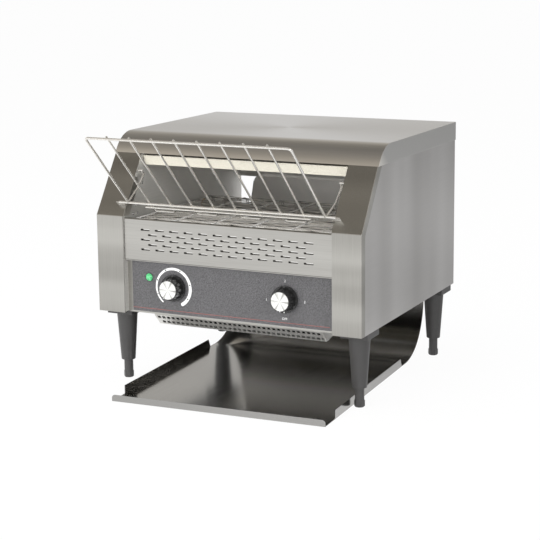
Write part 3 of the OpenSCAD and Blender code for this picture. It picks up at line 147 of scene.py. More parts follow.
def shade_by_area(mesh: Mesh, smooth_deg: float) -> None:
    """Smooth shading in which a large face keeps its own normal and its rounded edges take the turn.

    Args:
        mesh: the mesh.
        smooth_deg: faces that meet at more than this stay apart.
    """
    shade(mesh, smooth_deg)
    around: dict[int, list[tuple[Vector, float]]] = {}
    for face in mesh.polygons:
        for corner in face.vertices:
            around.setdefault(corner, []).append((face.normal.copy(), face.area))
    limit = math.cos(math.radians(smooth_deg))
    normals = []
    for face in mesh.polygons:
        for corner in face.vertices:
            total = sum((normal * area for normal, area in around[corner]
                         if normal.dot(face.normal) > limit), Vector())
            normals.append(total.normalized() if total.length_squared else face.normal.copy())
    mesh.normals_split_custom_set(normals)


def mean_width(face: bmesh.types.BMFace) -> float:
    """Area of a face over the length of its longest edge."""
    return face.calc_area() / max(edge.calc_length() for edge in face.edges)


@dataclass
class Softened:
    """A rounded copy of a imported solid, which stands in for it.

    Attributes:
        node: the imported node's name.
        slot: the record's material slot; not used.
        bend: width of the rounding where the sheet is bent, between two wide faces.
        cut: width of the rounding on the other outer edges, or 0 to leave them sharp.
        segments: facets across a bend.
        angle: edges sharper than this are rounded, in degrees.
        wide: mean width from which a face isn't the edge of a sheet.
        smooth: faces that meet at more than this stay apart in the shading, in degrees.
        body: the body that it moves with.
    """

    node: str
    slot: str = "steel"
    bend: float = 1.0 * MM
    cut: float = 0.2 * MM
    segments: int = 3
    angle: float = 26.0
    wide: float = 1.6 * MM
    smooth: float = 35.0
    body: str = BODY

    def round_edges(self, bm: BMesh, bends: bool) -> None:
        """Bevels either the bends or the other outer edges.

        Args:
            bm: the mesh.
            bends: whether the bends are meant.
        """
        width = self.bend if bends else self.cut
        if not width:
            return
        bm.normal_update()
        limit = math.radians(self.angle)
        edges = []
        for edge in bm.edges:
            if len(edge.link_faces) != 2 or not edge.is_convex or edge.calc_face_angle(0.0) < limit:
                continue
            if all(mean_width(face) > self.wide for face in edge.link_faces) == bends:
                edges.append(edge)
        bmesh.ops.bevel(bm, geom=edges, offset=width, segments=self.segments if bends else 1,
                        profile=0.5, affect="EDGES", clamp_overlap=True, loop_slide=True)

    def build(self, source: Mesh, material: Material) -> Piece:
        """Merges and bevels a copy of the node's mesh.

        Args:
            source: the node's mesh.
            material: the finish.

        Returns:
            The piece that replaces the node.
        """
        bm = bmesh.new()
        bm.from_mesh(source)
        bmesh.ops.remove_doubles(bm, verts=bm.verts, dist=MERGE)
        bmesh.ops.dissolve_limit(bm, angle_limit=math.radians(FLAT_DEG), verts=bm.verts, edges=bm.edges)
        for bends in (True, False):
            self.round_edges(bm, bends)
        mesh = as_mesh(self.node + "_shell", bm)
        shade_by_area(mesh, self.smooth)
        mesh.materials.append(material)
        piece = settle(link(bpy.data.objects.new(mesh.name, mesh)), self.body)
        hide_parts(self.node)
        return piece


def moulded(node: str, slot: str, edge: float, body: str = BODY, angle: float = 26.0) -> Softened:
    """A solid piece whose outer edges are all rounded alike.

    Args:
        node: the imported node's name.
        slot: the record's material slot.
        edge: width of the rounding.
        body: the body that it moves with.
        angle: edges sharper than this are rounded, in degrees.

    Returns:
        What to build.
    """
    return Softened(node, slot, edge, segments=2, angle=angle, wide=0.0, smooth=50.0, body=body)


# ---------------------------------------------------------------- flat prints


def polar(centre: Point, radius: float, angle: float) -> Point:
    """Point round a centre, at an angle in degrees clockwise from straight down."""
    turn = math.radians(angle)
    return centre[0] - radius * math.sin(turn), centre[1] - radius * math.cos(turn)


def front_centre(node: str) -> Point:
    """Middle of a node seen from the front, x and z."""
    low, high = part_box(node)
    return (low.x + high.x) / 2, (low.z + high.z) / 2


@dataclass
class Print:
    """Thin printed shapes on a plate that faces the front, collected in one mesh.

    Attributes:
        front: y of the printed face.
        thick: thickness of the ink.
        bm: the mesh so far.
    """

    front: float
    thick: float = INK
    bm: BMesh = field(default_factory=bmesh.new)

    def strip(self, pairs: list[tuple[Point, Point]]) -> None:
        """Adds a closed band between two rows of points.

        Args:
            pairs: two points, each x and z, across the band at each place along it.
        """
        rows = [[self.bm.verts.new((x, y, z)) for y in (self.front, self.front + self.thick)
                 for x, z in pair] for pair in pairs]
        for (a, b, c, d), (e, f, g, h) in zip(rows, rows[1:]):
            for ring in ((a, b, f, e), (d, c, g, h), (c, a, e, g), (b, d, h, f)):
                self.bm.faces.new(ring)
        for a, b, c, d in (rows[0], rows[-1]):
            self.bm.faces.new((a, b, d, c))

    def bar(self, start: Point, end: Point, width: float) -> None:
        """Adds a straight bar between two points."""
        along = (Vector(end) - Vector(start)).normalized()
        side = Vector((-along.y, along.x)) * width / 2
        self.strip([(tuple(Vector(p) + side), tuple(Vector(p) - side)) for p in (start, end)])

    def arc(self, centre: Point, outer: float, ends: Point, widths: Point, steps: int = 96) -> None:
        """Adds an arc whose width grows, with round ends.

        Args:
            centre: its centre, x and z.
            outer: its outer radius.
            ends: its first and last angle in degrees, clockwise from straight down.
            widths: its width at each end.
            steps: number of pieces along the arc.
        """
        caps = []
        for sign, width, at in ((-1, widths[0], ends[0]), (1, widths[1], ends[1])):
            reach = math.degrees(width / 2 / (outer - width / 2))
            turns = [k * math.pi / FACETS for k in range(1, FACETS // 2)]
            caps.append([(at + sign * reach * math.sin(t), width * math.cos(t), width) for t in turns])
        body = []
        for k in range(steps + 1):
            width = widths[0] + (widths[1] - widths[0]) * k / steps
            body.append((ends[0] + (ends[1] - ends[0]) * k / steps, width, width))
        self.strip([tuple(polar(centre, outer - full / 2 + half * width, angle) for half in (0.5, -0.5))
                    for angle, width, full in caps[0][::-1] + body + caps[1]])

    def disc(self, centre: Point, radius: float, sliver: float = 1e-7) -> None:
        """Adds a round dot, whose two tips are two slivers high to keep its faces whole."""
        turns = [k * math.pi / FACETS for k in range(FACETS + 1)]
        self.strip([tuple((centre[0] - radius * math.cos(t), centre[1] + half)
                          for half in (radius * math.sin(t) + sliver, -radius * math.sin(t) - sliver))
                    for t in turns])

    def words(self, text: str, centre: Point, size: float) -> None:
        """Adds numerals or OFF, centred on a point."""
        curve = bpy.data.curves.new("mark", "FONT")
        curve.body, curve.size, curve.extrude = text, size, self.thick / 2
        curve.align_x = curve.align_y = "CENTER"
        curve.resolution_u = 3
        mark = link(bpy.data.objects.new("mark", curve))
        mesh = evaluated(mark)
        bpy.data.objects.remove(mark)
        mesh.transform(Matrix.Translation((centre[0], self.front + self.thick / 2, centre[1]))
                       @ Matrix.Rotation(math.pi / 2, 4, "X"))
        self.bm.from_mesh(mesh)

    def finish(self, name: str, material: Material, body: str, slot: str) -> Piece:
        """Turns the shapes into a piece.

        Args:
            name: the piece's name.
            material: the finish.
            body: the body that the piece moves with.
            slot: the record's material slot; not used.

        Returns:
            The piece.
        """
        bmesh.ops.remove_doubles(self.bm, verts=self.bm.verts, dist=SAME)
        bmesh.ops.recalc_face_normals(self.bm, faces=self.bm.faces)
        mesh = as_mesh(name, self.bm)
        shade(mesh)
        mesh.materials.append(material)
        return settle(link(bpy.data.objects.new(name, mesh)), body)


# ---------------------------------------------------------------- nodes


def open_inputs(tree: Tree, inputs: dict[str, object]) -> None:
    """Gives a tree named inputs, each of the type of its default."""
    kinds = {float: "Float", int: "Int", tuple: "Vector"}
    for key, default in inputs.items():
        tree.interface.new_socket(key, in_out="INPUT", socket_type="NodeSocket" + kinds[type(default)]
                                  ).default_value = default


class Nodes:
    """Builds and joins the nodes of one tree.

    Attributes:
        prefix: what the types of the tree's usual nodes start with.
        tree: the tree.
    """

    prefix = "ShaderNode"

    def __init__(self, tree: Tree) -> None:
        """Starts on a tree."""
        self.tree = tree

    def feed(self, target: Socket, value: object) -> None:
        """Joins an input to the socket that feeds it, or sets it to a plain value."""
        if isinstance(value, Socket):
            self.tree.links.new(value, target)
        else:
            target.default_value = value

    def add(self, kind: str, *feeds: object, **values: object) -> Node:
        """Adds a node.

        Args:
            kind: its type, without the usual prefix.
            feeds: sockets or values for its first inputs, in order.
            values: properties, or inputs by name with an underscore for each space.

        Returns:
            The node.
        """
        node = self.tree.nodes.new(kind if "Node" in kind else self.prefix + kind)
        for name, value in values.items():
            if hasattr(node, name):
                setattr(node, name, value)
            else:
                self.feed(node.inputs[name.replace("_", " ")], value)
        for target, value in zip(node.inputs, feeds):
            self.feed(target, value)
        return node

    def get(self, kind: str, *feeds: object, out: str | int = 0, **values: object) -> Socket:
        """Adds a node as add() does, and returns one of its outputs."""
        return self.add(kind, *feeds, **values).outputs[out]

    def math(self, operation: str, *feeds: object, clamp: bool = False) -> Socket:
        """Adds a Math node on sockets or numbers and returns its result."""
        return self.get("ShaderNodeMath", *feeds, operation=operation, use_clamp=clamp)

    def weigh(self, first: Socket, a: float, second: Socket, b: float) -> Socket:
        """Adds up two sockets, each times its weight."""
        return self.math("ADD", self.math("MULTIPLY", first, a), self.math("MULTIPLY", second, b))

    def mix(self, share: Socket, first: Socket | Colour, second: Socket | Colour) -> Socket:
        """Adds a colour Mix between two colours or sockets and returns its result."""
        node = self.add("Mix", share, data_type="RGBA")
        for target, colour in ((node.inputs[6], first), (node.inputs[7], second)):
            self.feed(target, colour if isinstance(colour, Socket) else (*colour, 1))
        return node.outputs[2]

    def ramp(self, value: Socket, stops: tuple[tuple[float, Colour], ...]) -> Socket:
        """Adds a colour ramp.

        Args:
            value: what the ramp reads, from 0 to 1.
            stops: place and colour of each stop.

        Returns:
            The ramp's colour.
        """
        node = self.add("ValToRGB", value)
        elements = node.color_ramp.elements
        while len(elements) < len(stops):
            elements.new(0.5)
        for element, (at, colour) in zip(elements, stops):
            element.position = at
            element.color = (*colour, 1)
        return node.outputs[0]


class Repeat(Nodes):
    """One Geometry Nodes tree with named inputs, run on a guide mesh.

    Attributes:
        sharp_deg: edges over this stay sharp in the shading.
        source: the tree's input sockets.
        end: the sockets that end it.
    """

    prefix = "GeometryNode"
    sharp_deg = 40.0

    def __init__(self, name: str, inputs: dict[str, object]) -> None:
        """Starts the tree.

        Args:
            name: the tree's name.
            inputs: name of each input to its default.
        """
        super().__init__(bpy.data.node_groups.new(name, "GeometryNodeTree"))
        face = self.tree.interface
        face.new_socket("Geometry", in_out="INPUT", socket_type="NodeSocketGeometry")
        open_inputs(self.tree, inputs)
        for key in ("Material", "Second Material"):
            face.new_socket(key, in_out="INPUT", socket_type="NodeSocketMaterial")
        face.new_socket("Geometry", in_out="OUTPUT", socket_type="NodeSocketGeometry")
        self.source = self.add("NodeGroupInput").outputs
        self.end = self.add("NodeGroupOutput").inputs

    def vector(self, x: object = 0.0, y: object = 0.0, z: object = 0.0) -> Socket:
        """Adds a Combine XYZ node and returns its vector."""
        return self.get("ShaderNodeCombineXYZ", x, y, z)

    def tube(self, curve: Socket, radius: object, sides: int = 6) -> Socket:
        """Sweeps a round wire along a curve and returns the mesh."""
        ring = self.get("CurvePrimitiveCircle", out="Curve", Resolution=sides, Radius=radius)
        return self.get("CurveToMesh", Curve=curve, Profile_Curve=ring, Fill_Caps=True)

    def place(self, points: Socket, shape: Socket, **more: object) -> Socket:
        """Puts a shape on every point and returns the instances."""
        return self.get("InstanceOnPoints", Points=points, Instance=shape, **more)

    def finish(self, first: Socket, second: Socket | None = None) -> None:
        """Realizes one or two parts, sets each one's material, joins them and ends the tree."""
        joined = self.add("JoinGeometry")
        for part, key in ((second, "Second Material"), (first, "Material")):
            if part is None:
                continue
            smooth = self.get("SetShadeSmooth", Geometry=self.get("RealizeInstances", part))
            painted = self.get("SetMaterial", Geometry=smooth, Material=self.source[key])
            self.feed(joined.inputs[0], painted)
        self.feed(self.end[0], joined.outputs[0])

    def run(self, name: str, guide: Mesh, values: dict[str, object], material: Material, body: str,
            slot: str, second: Material | None = None) -> Piece:
        """Runs the tree on a guide mesh and keeps the result as a plain mesh.

        Args:
            name: the piece's name.
            guide: the mesh whose points or edges the shapes follow.
            values: input name to its value.
            material: the finish.
            body: the body that the piece moves with.
            slot: the record's material slot; not used.
            second: the finish of the tree's second part, if it has one.

        Returns:
            The finished piece.
        """
        piece = link(bpy.data.objects.new(name, guide))
        modifier = piece.modifiers.new("repeat", "NODES")
        modifier.node_group = self.tree
        given = {"Material": material, "Second Material": second or material, **values}
        for item in self.tree.interface.items_tree:
            if item.in_out == "INPUT" and item.name in given:
                modifier[item.identifier] = given[item.name]
        mesh = evaluated(piece)
        piece.modifiers.clear()
        piece.data = mesh
        mesh.set_sharp_from_angle(angle=math.radians(self.sharp_deg))
        return settle(piece, body)


def guide_mesh(name: str, points: list[Vector], edges: list[tuple[int, int]] | None = None) -> Mesh:
    """A mesh of bare points or of a path for a Geometry Nodes tree."""
    mesh = bpy.data.meshes.new(name)
    mesh.from_pydata([tuple(point) for point in points], edges or [], [])
    return mesh


def belt_tree() -> Repeat:
    """Tree of a wire belt: cross wires on the points of a closed path, link loops on its edges.

    Returns:
        The tree, with the belt's sizes as inputs.
    """
    tree = Repeat("wire_belt", {
        "Width": 0.311, "Wire Radius": 0.0007, "Wave": 0.0005, "Wave Length": 0.062,
        "Link Width": 0.003, "Link Radius": 0.0006, "Link Count": 6, "Link Spacing": 0.0616,
        "Pitch": 0.01})
    wire_points, corner, corner_facets = 41, 0.3, 2
    size = tree.source
    half = tree.math("MULTIPLY", size["Width"], 0.5)
    line = tree.get("CurvePrimitiveLine", Start=tree.vector(tree.math("MULTIPLY", half, -1.0)),
                    End=tree.vector(half))
    fine = tree.get("ResampleCurve", Curve=line, Count=wire_points)
    along = tree.get("ShaderNodeSeparateXYZ", tree.get("InputPosition"), out="X")
    turn = tree.math("DIVIDE", tree.math("MULTIPLY", along, 2 * math.pi), size["Wave Length"])
    shift = tree.math("MULTIPLY", tree.math("COSINE", turn), size["Wave"])
    waved = tree.get("SetPosition", Geometry=fine, Offset=tree.vector(0.0, shift))
    odd = tree.math("MODULO", tree.get("InputIndex"), 2.0)
    wires = tree.place(size["Geometry"], tree.tube(waved, size["Wire Radius"]),
                       Rotation=tree.vector(0.0, 0.0, tree.math("MULTIPLY", odd, math.pi)))
    ends = tree.add("InputMeshEdgeVertices").outputs
    way = tree.get("ShaderNodeVectorMath", ends["Position 2"], ends["Position 1"], operation="SUBTRACT")
    keep = tree.add("CaptureAttribute", domain="EDGE", Geometry=size["Geometry"])
    keep.capture_items.new("VECTOR", "Way")
    tree.feed(keep.inputs["Way"], way)
    middles = tree.get("MeshToPoints", mode="EDGES", Mesh=keep.outputs["Geometry"])
    turned = tree.get("FunctionNodeAlignRotationToVector", axis="Y", pivot_axis="X",
                      Vector=keep.outputs["Way"])
    loop = tree.get("CurvePrimitiveQuadrilateral", Width=size["Link Width"],
                    Height=tree.math("ADD", size["Pitch"], size["Wire Radius"]))
    rounded = tree.get("FilletCurve", mode="POLY", Curve=loop, Count=corner_facets,
                       Radius=tree.math("MULTIPLY", size["Link Width"], corner))
    first = tree.math("MULTIPLY", size["Link Spacing"], tree.math(
        "MULTIPLY", tree.math("SUBTRACT", size["Link Count"], 1.0), -0.5))
    row = tree.get("MeshLine", Count=size["Link Count"], Start_Location=tree.vector(first),
                   Offset=tree.vector(size["Link Spacing"]))
    ring = tree.tube(rounded, size["Link Radius"])
    tree.finish(wires, tree.place(middles, tree.place(row, ring), Rotation=turned))
    return tree


def dome_tree() -> Repeat:
    """Tree of flat domes, such as rivets, on bare points; Turn swings each dome's axis from z."""
    tree = Repeat("domes", {"Radius": 0.002, "Rise": 0.4, "Turn": (0.0, 0.0, 0.0)})
    ball = tree.get("MeshUVSphere", Segments=20, Rings=10, Radius=tree.source["Radius"])
    flat = tree.get("Transform", Geometry=ball, Scale=tree.vector(1.0, 1.0, tree.source["Rise"]))
    tree.finish(tree.place(tree.source["Geometry"], flat, Rotation=tree.source["Turn"]))
    return tree


def cross_tree() -> Repeat:
    """Tree of dark crosses that paint the shade of screw recesses, two crossed bars with their axis along
    y, on bare points.

    The second bar stands a little lower, so that no two faces lie in one plane.
    """
    tree = Repeat("screw_crosses", {"Length": 0.0036, "Width": 0.0008, "Depth": 0.0002})
    size = tree.source
    lower = tree.math("MULTIPLY", size["Depth"], 0.98)
    both = tree.add("JoinGeometry")
    for bar in ((size["Length"], size["Depth"], size["Width"]), (size["Width"], lower, size["Length"])):
        tree.feed(both.inputs[0], tree.get("MeshCube", tree.vector(*bar)))
    tree.finish(tree.place(size["Geometry"], both.outputs[0]))
    return tree


# ---------------------------------------------------------------- shader groups


def new_group(name: str, inputs: dict[str, object], outputs: list[str]) -> tuple[Nodes, dict, dict]:
    """Starts a shader node group with named sockets.

    Args:
        name: the group's name.
        inputs: name of each input to its default.
        outputs: names of float outputs.

    Returns:
        The wiring helper, the group's input sockets and the sockets that end it, by name.
    """
    tree = bpy.data.node_groups.new(name, "ShaderNodeTree")
    open_inputs(tree, inputs)
    for key in outputs:
        tree.interface.new_socket(key, in_out="OUTPUT", socket_type="NodeSocketFloat")
    s = Nodes(tree)
    source, end = s.add("NodeGroupInput").outputs, s.add("NodeGroupOutput").inputs
    return s, dict(source.items()), dict(end.items())


def grain_group() -> Tree:
    """Brushed grain: fine scratches along one direction and broad soft bands, which colour a sheet as
    painted sheen and give it slow unevenness.

    Returns:
        A group with the inputs Scratch and Band, both scale vectors, and the outputs Fine and Broad.
    """
    s, source, end = new_group(
        "brushed_grain", {"Scratch": (20.0, 20.0, 2000.0), "Band": (1.0, 1.0, 18.0)}, ["Fine", "Broad"])
    where = s.get("TexCoord", out="Object")
    for key, out, detail, rough in (("Scratch", "Fine", 3.0, 0.6), ("Band", "Broad", 2.0, 0.45)):
        scaled = s.get("VectorMath", where, source[key], operation="MULTIPLY")
        s.feed(end[out], s.get("TexNoise", out="Fac", Vector=scaled, Scale=1.0, Detail=detail,
                               Roughness=rough))
    return s.tree


def speckle_group() -> Tree:
    """Fine speckle of a printed or moulded surface, and a slow cloud.

    Returns:
        A group with the inputs Grain and Patch, both scales, and the outputs Speck and Cloud.
    """
    s, source, end = new_group("speckle", {"Grain": 1400.0, "Patch": 30.0}, ["Speck", "Cloud"])
    where = s.get("TexCoord", out="Object")
    for key, out in (("Grain", "Speck"), ("Patch", "Cloud")):
        s.feed(end[out], s.get("TexNoise", out="Fac", Vector=where, Scale=source[key], Detail=2.0,
                               Roughness=0.6))
    return s.tree


def spun_group() -> Tree:
    """Painted radial sheen of spun metal round an axis along y: bright and dark rays painted into the
    colour.

    Returns:
        A group with the inputs Centre and Rays, half the number of dark lines, and the outputs Ray,
        the brightness of the painted sheen, and Ring, its fine grooves.
    """
    sharpness, darkness, grooves = 16.0, 0.35, 9000.0
    s, source, end = new_group("spun_metal", {"Centre": (0.0, 0.0, 0.0), "Rays": 3.0}, ["Ray", "Ring"])
    offset = s.get("VectorMath", s.get("TexCoord", out="Object"), source["Centre"], operation="SUBTRACT")
    split = s.add("SeparateXYZ", offset).outputs
    turn = s.math("ARCTAN2", split["Z"], split["X"])
    wave = s.math("ABSOLUTE", s.math("COSINE", s.math("MULTIPLY", turn, source["Rays"])))
    noise = s.get("TexNoise", out="Fac", noise_dimensions="1D", W=turn, Scale=3.0, Detail=4.0)
    line = s.math("POWER", wave, sharpness)
    s.feed(end["Ray"], s.math("SUBTRACT", noise, s.math("MULTIPLY", line, darkness)))
    length = s.get("VectorMath", offset, out="Value", operation="LENGTH")
    s.feed(end["Ring"], s.math("SINE", s.math("MULTIPLY", length, grooves)))
    return s.tree


def reach_group() -> Tree:
    """Share of the way along a direction between two levels.

    Returns:
        A group with the inputs Way, a direction, Low and High, and the output Share.
    """
    s, source, end = new_group("reach", {"Way": (0.0, 0.0, 1.0), "Low": 0.0, "High": 0.1}, ["Share"])
    along = s.get("VectorMath", s.get("TexCoord", out="Object"), source["Way"], out="Value",
                  operation="DOT_PRODUCT")
    s.feed(end["Share"], s.get("MapRange", along, source["Low"], source["High"]))
    return s.tree


def inside_group() -> Tree:
    """Mask of the surfaces inside a box and behind a sloping sheet.

    Returns:
        A group with the inputs Low and High, the box's corners, Way, the sheet's inward normal, and
        Depth, the sheet's distance along it, and the output Inside.
    """
    zero = (0.0, 0.0, 0.0)
    s, source, end = new_group("inside", {"Low": zero, "High": zero, "Way": zero, "Depth": 0.0}, ["Inside"])
    where = s.get("TexCoord", out="Object")
    reach = s.get("VectorMath", where, source["Way"], out="Value", operation="DOT_PRODUCT")
    inside = s.math("GREATER_THAN", reach, source["Depth"])
    for first, second in ((where, source["Low"]), (source["High"], where)):
        gap = s.get("VectorMath", first, second, operation="SUBTRACT")
        for part in s.add("SeparateXYZ", gap).outputs:
            inside = s.math("MULTIPLY", inside, s.math("GREATER_THAN", part, 0.0))
    s.feed(end["Inside"], inside)
    return s.tree


@dataclass
class Groups:
    """The shader groups that the finishes share."""

    grain: Tree = field(default_factory=grain_group)
    speckle: Tree = field(default_factory=speckle_group)
    spun: Tree = field(default_factory=spun_group)
    reach: Tree = field(default_factory=reach_group)
    inside: Tree = field(default_factory=inside_group)


# ---------------------------------------------------------------- finishes


class Grain(Enum):
    """Direction in which a sheet is brushed."""

    ACROSS = (14.0, 800.0, 800.0)
    DEPTH = (800.0, 14.0, 800.0)
    UPRIGHT = (800.0, 800.0, 14.0)


class Band(Enum):
    """Direction in which the soft bands of a sheet's painted sheen run."""

    ACROSS = (0.5, 0.5, 16.0)
    UPRIGHT = (9.0, 9.0, 0.6)
    NONE = (3.0, 3.0, 3.0)


def start_material(name: str, **constants: object) -> tuple[Material, Nodes, dict[str, Socket]]:
    """Creates a node material.

    Args:
        name: its name.
        constants: inputs of its shader that stay plain, with an underscore for each space.

    Returns:
        The material, the wiring helper of its tree and the inputs of its shader by name.
    """
    material = bpy.data.materials.new(name)
    material.use_nodes = True
    inputs = dict(material.node_tree.nodes["Principled BSDF"].inputs.items())
    for key, value in constants.items():
        inputs[key.replace("_", " ")].default_value = value
    return material, Nodes(material.node_tree), inputs


def overlay(material: Material, colour: Colour, group: Tree, **settings: object) -> Socket:
    """Lays a plain colour over a material's own where a group says so.

    Args:
        material: the material.
        colour: the plain colour.
        group: the group, whose first output is the share of that colour.
        settings: the group's inputs.

    Returns:
        The group's first output.
    """
    s = Nodes(material.node_tree)
    base = material.node_tree.nodes["Principled BSDF"].inputs["Base Color"]
    share = s.get("Group", node_tree=group, **settings)
    s.feed(base, s.mix(share, base.links[0].from_socket, colour))
    return share


@dataclass(frozen=True)
class SheetFinish:
    """Brushed sheet metal.

    Attributes:
        name: the material's name.
        light: colour of the bright scratches and of the bright bands of painted sheen.
        dark: colour of the dark ones.
        grain: brushing direction.
        band: direction of the soft bands.
        roughness: middle roughness.
        band_share: how much the bands of painted sheen colour the sheet.
        scratch: depth of the scratches in millimetres.
        ripple: depth of the slow unevenness of the sheet in millimetres.
        anisotropy: stretch of the highlights.
        metallic: metallic share, lower where heat and crumbs have dulled the sheet.
    """

    name: str
    light: Colour
    dark: Colour
    grain: Grain = Grain.ACROSS
    band: Band = Band.NONE
    roughness: float = 0.30
    band_share: float = 0.5
    scratch: float = 0.003
    ripple: float = 0.12
    anisotropy: float = 0.4
    metallic: float = 1.0

    def make(self, groups: Groups) -> Material:
        """Builds the material."""
        material, s, inputs = start_material(self.name, Metallic=self.metallic, Anisotropic=self.anisotropy)
        grain = s.add("Group", node_tree=groups.grain, Scratch=self.grain.value, Band=self.band.value)
        fine, broad = grain.outputs["Fine"], grain.outputs["Broad"]
        # painted sheen: the broad bands colour the sheet as reflection streaks, the fine scratches as its
        # grain
        share = s.weigh(broad, self.band_share, fine, 1.0 - self.band_share)
        tone = s.get("MapRange", share, *GRAIN_SPAN)
        s.feed(inputs["Base Color"], s.mix(tone, self.dark, self.light))
        low, high = (self.roughness + more for more in GRAIN_ROUGH)
        s.feed(inputs["Roughness"], s.get("MapRange", fine, To_Min=low, To_Max=high))
        s.feed(inputs["Normal"], s.get("Bump", Strength=1.0, Distance=MM,
                                       Height=s.weigh(fine, self.scratch, broad, self.ripple)))
        return material


@dataclass(frozen=True, kw_only=True)
class ChangingFinish(SheetFinish):
    """Sheet whose colour and metallic share change along one direction, to paint light or shade on it.

    Attributes:
        way: direction of the change.
        low: level where the change begins.
        high: level where it is complete.
        dull: metallic share where the painted light lies.
        bloom: colour of the painted light or highlight where the change is complete.
    """

    way: Triple = (0.0, 0.0, 1.0)
    low: float
    high: float
    dull: float
    bloom: Colour

    def make(self, groups: Groups) -> Material:
        """Builds the material."""
        material = super().make(groups)
        # painted light: the base colour goes over to bloom along way
        share = overlay(material, self.bloom, groups.reach, Way=self.way, Low=self.low, High=self.high)
        s = Nodes(material.node_tree)
        s.feed(material.node_tree.nodes["Principled BSDF"].inputs["Metallic"],
               s.get("MapRange", share, To_Min=self.metallic, To_Max=self.dull))
        return material


@dataclass(frozen=True)
class DuctFinish(SheetFinish):
    """Sheet of a perforated air duct whose inside is painted near-black as shade.

    Attributes:
        low: lowest corner of the inside.
        high: highest corner of the inside.
        way: inward normal of the perforated slope.
        depth: distance of its back along that normal.
        soot: near-black colour painted on the inside, painted shade seen through the holes.
    """

    low: Triple = (-0.1209, -0.1285, 0.0935)
    high: Triple = (0.1429, -0.1019, 0.1101)
    way: Triple = (0.0, 0.728, 0.686)
    depth: float = -0.0168
    soot: Colour = (0.012, 0.011, 0.010)

    def make(self, groups: Groups) -> Material:
        """Builds the material."""
        material = super().make(groups)
        # painted shade: the inside of the duct is coloured near-black
        overlay(material, self.soot, groups.inside, Low=self.low, High=self.high, Way=self.way,
                Depth=self.depth)
        return material


@dataclass(frozen=True)
class SpeckledFinish:
    """Plastic, enamel, film or ceramic with a fine speckle.

    Attributes:
        name: the material's name.
        light: colour of the light specks.
        dark: colour of the dark ones.
        roughness: middle roughness.
        grain: scale of the specks.
        relief: height of the specks in the bump.
        metallic: metallic share of the surface.
        coat: weight of the clear coat.
    """

    name: str
    light: Colour
    dark: Colour
    roughness: float = 0.5
    grain: float = 1400.0
    relief: float = 0.1
    metallic: float = 0.0
    coat: float = 0.0

    def make(self, groups: Groups) -> Material:
        """Builds the material."""
        material, s, inputs = start_material(self.name, Metallic=self.metallic, Coat_Weight=self.coat)
        speckle = s.add("Group", node_tree=groups.speckle, Grain=self.grain)
        speck, cloud = speckle.outputs["Speck"], speckle.outputs["Cloud"]
        tone = s.get("MapRange", s.weigh(speck, SPECK_SHARE, cloud, 1.0 - SPECK_SHARE), *SPECK_SPAN)
        s.feed(inputs["Base Color"], s.mix(tone, self.dark, self.light))
        low, high = (self.roughness + more for more in SPECK_ROUGH)
        s.feed(inputs["Roughness"], s.get("MapRange", cloud, To_Min=low, To_Max=high))
        s.feed(inputs["Normal"], s.get("Bump", Strength=self.relief, Distance=0.1 * MM, Height=speck))
        return material


@dataclass(frozen=True)
class SpunFinish:
    """Spun metal round an axis along y, such as a knob's cap, with its radial sheen painted into the
    colour.

    Attributes:
        name: the material's name.
        light: colour of the bright rays, painted highlights.
        dark: colour of the dark rays of the painted sheen.
        rays: painted sheen from which to which it goes from dark to light.
        roughness: roughness between and on the grooves.
        metallic: metallic share of the cap.
    """

    name: str
    light: Colour = (0.80, 0.80, 0.78)
    dark: Colour = (0.30, 0.30, 0.28)
    rays: Point = (0.1, 0.5)
    roughness: Point = (0.24, 0.36)
    metallic: float = 0.3

    def make(self, groups: Groups, centre: Vector) -> Material:
        """Builds the material for a disc round centre."""
        material, s, inputs = start_material(self.name, Metallic=self.metallic)
        spun = s.add("Group", node_tree=groups.spun, Centre=centre).outputs
        tone = s.get("MapRange", spun["Ray"], *self.rays)
        # painted sheen: the light and dark rays are painted into the colour
        s.feed(inputs["Base Color"], s.mix(tone, self.dark, self.light))
        s.feed(inputs["Roughness"], s.get("MapRange", spun["Ring"], -1.0, 1.0, *self.roughness))
        return material


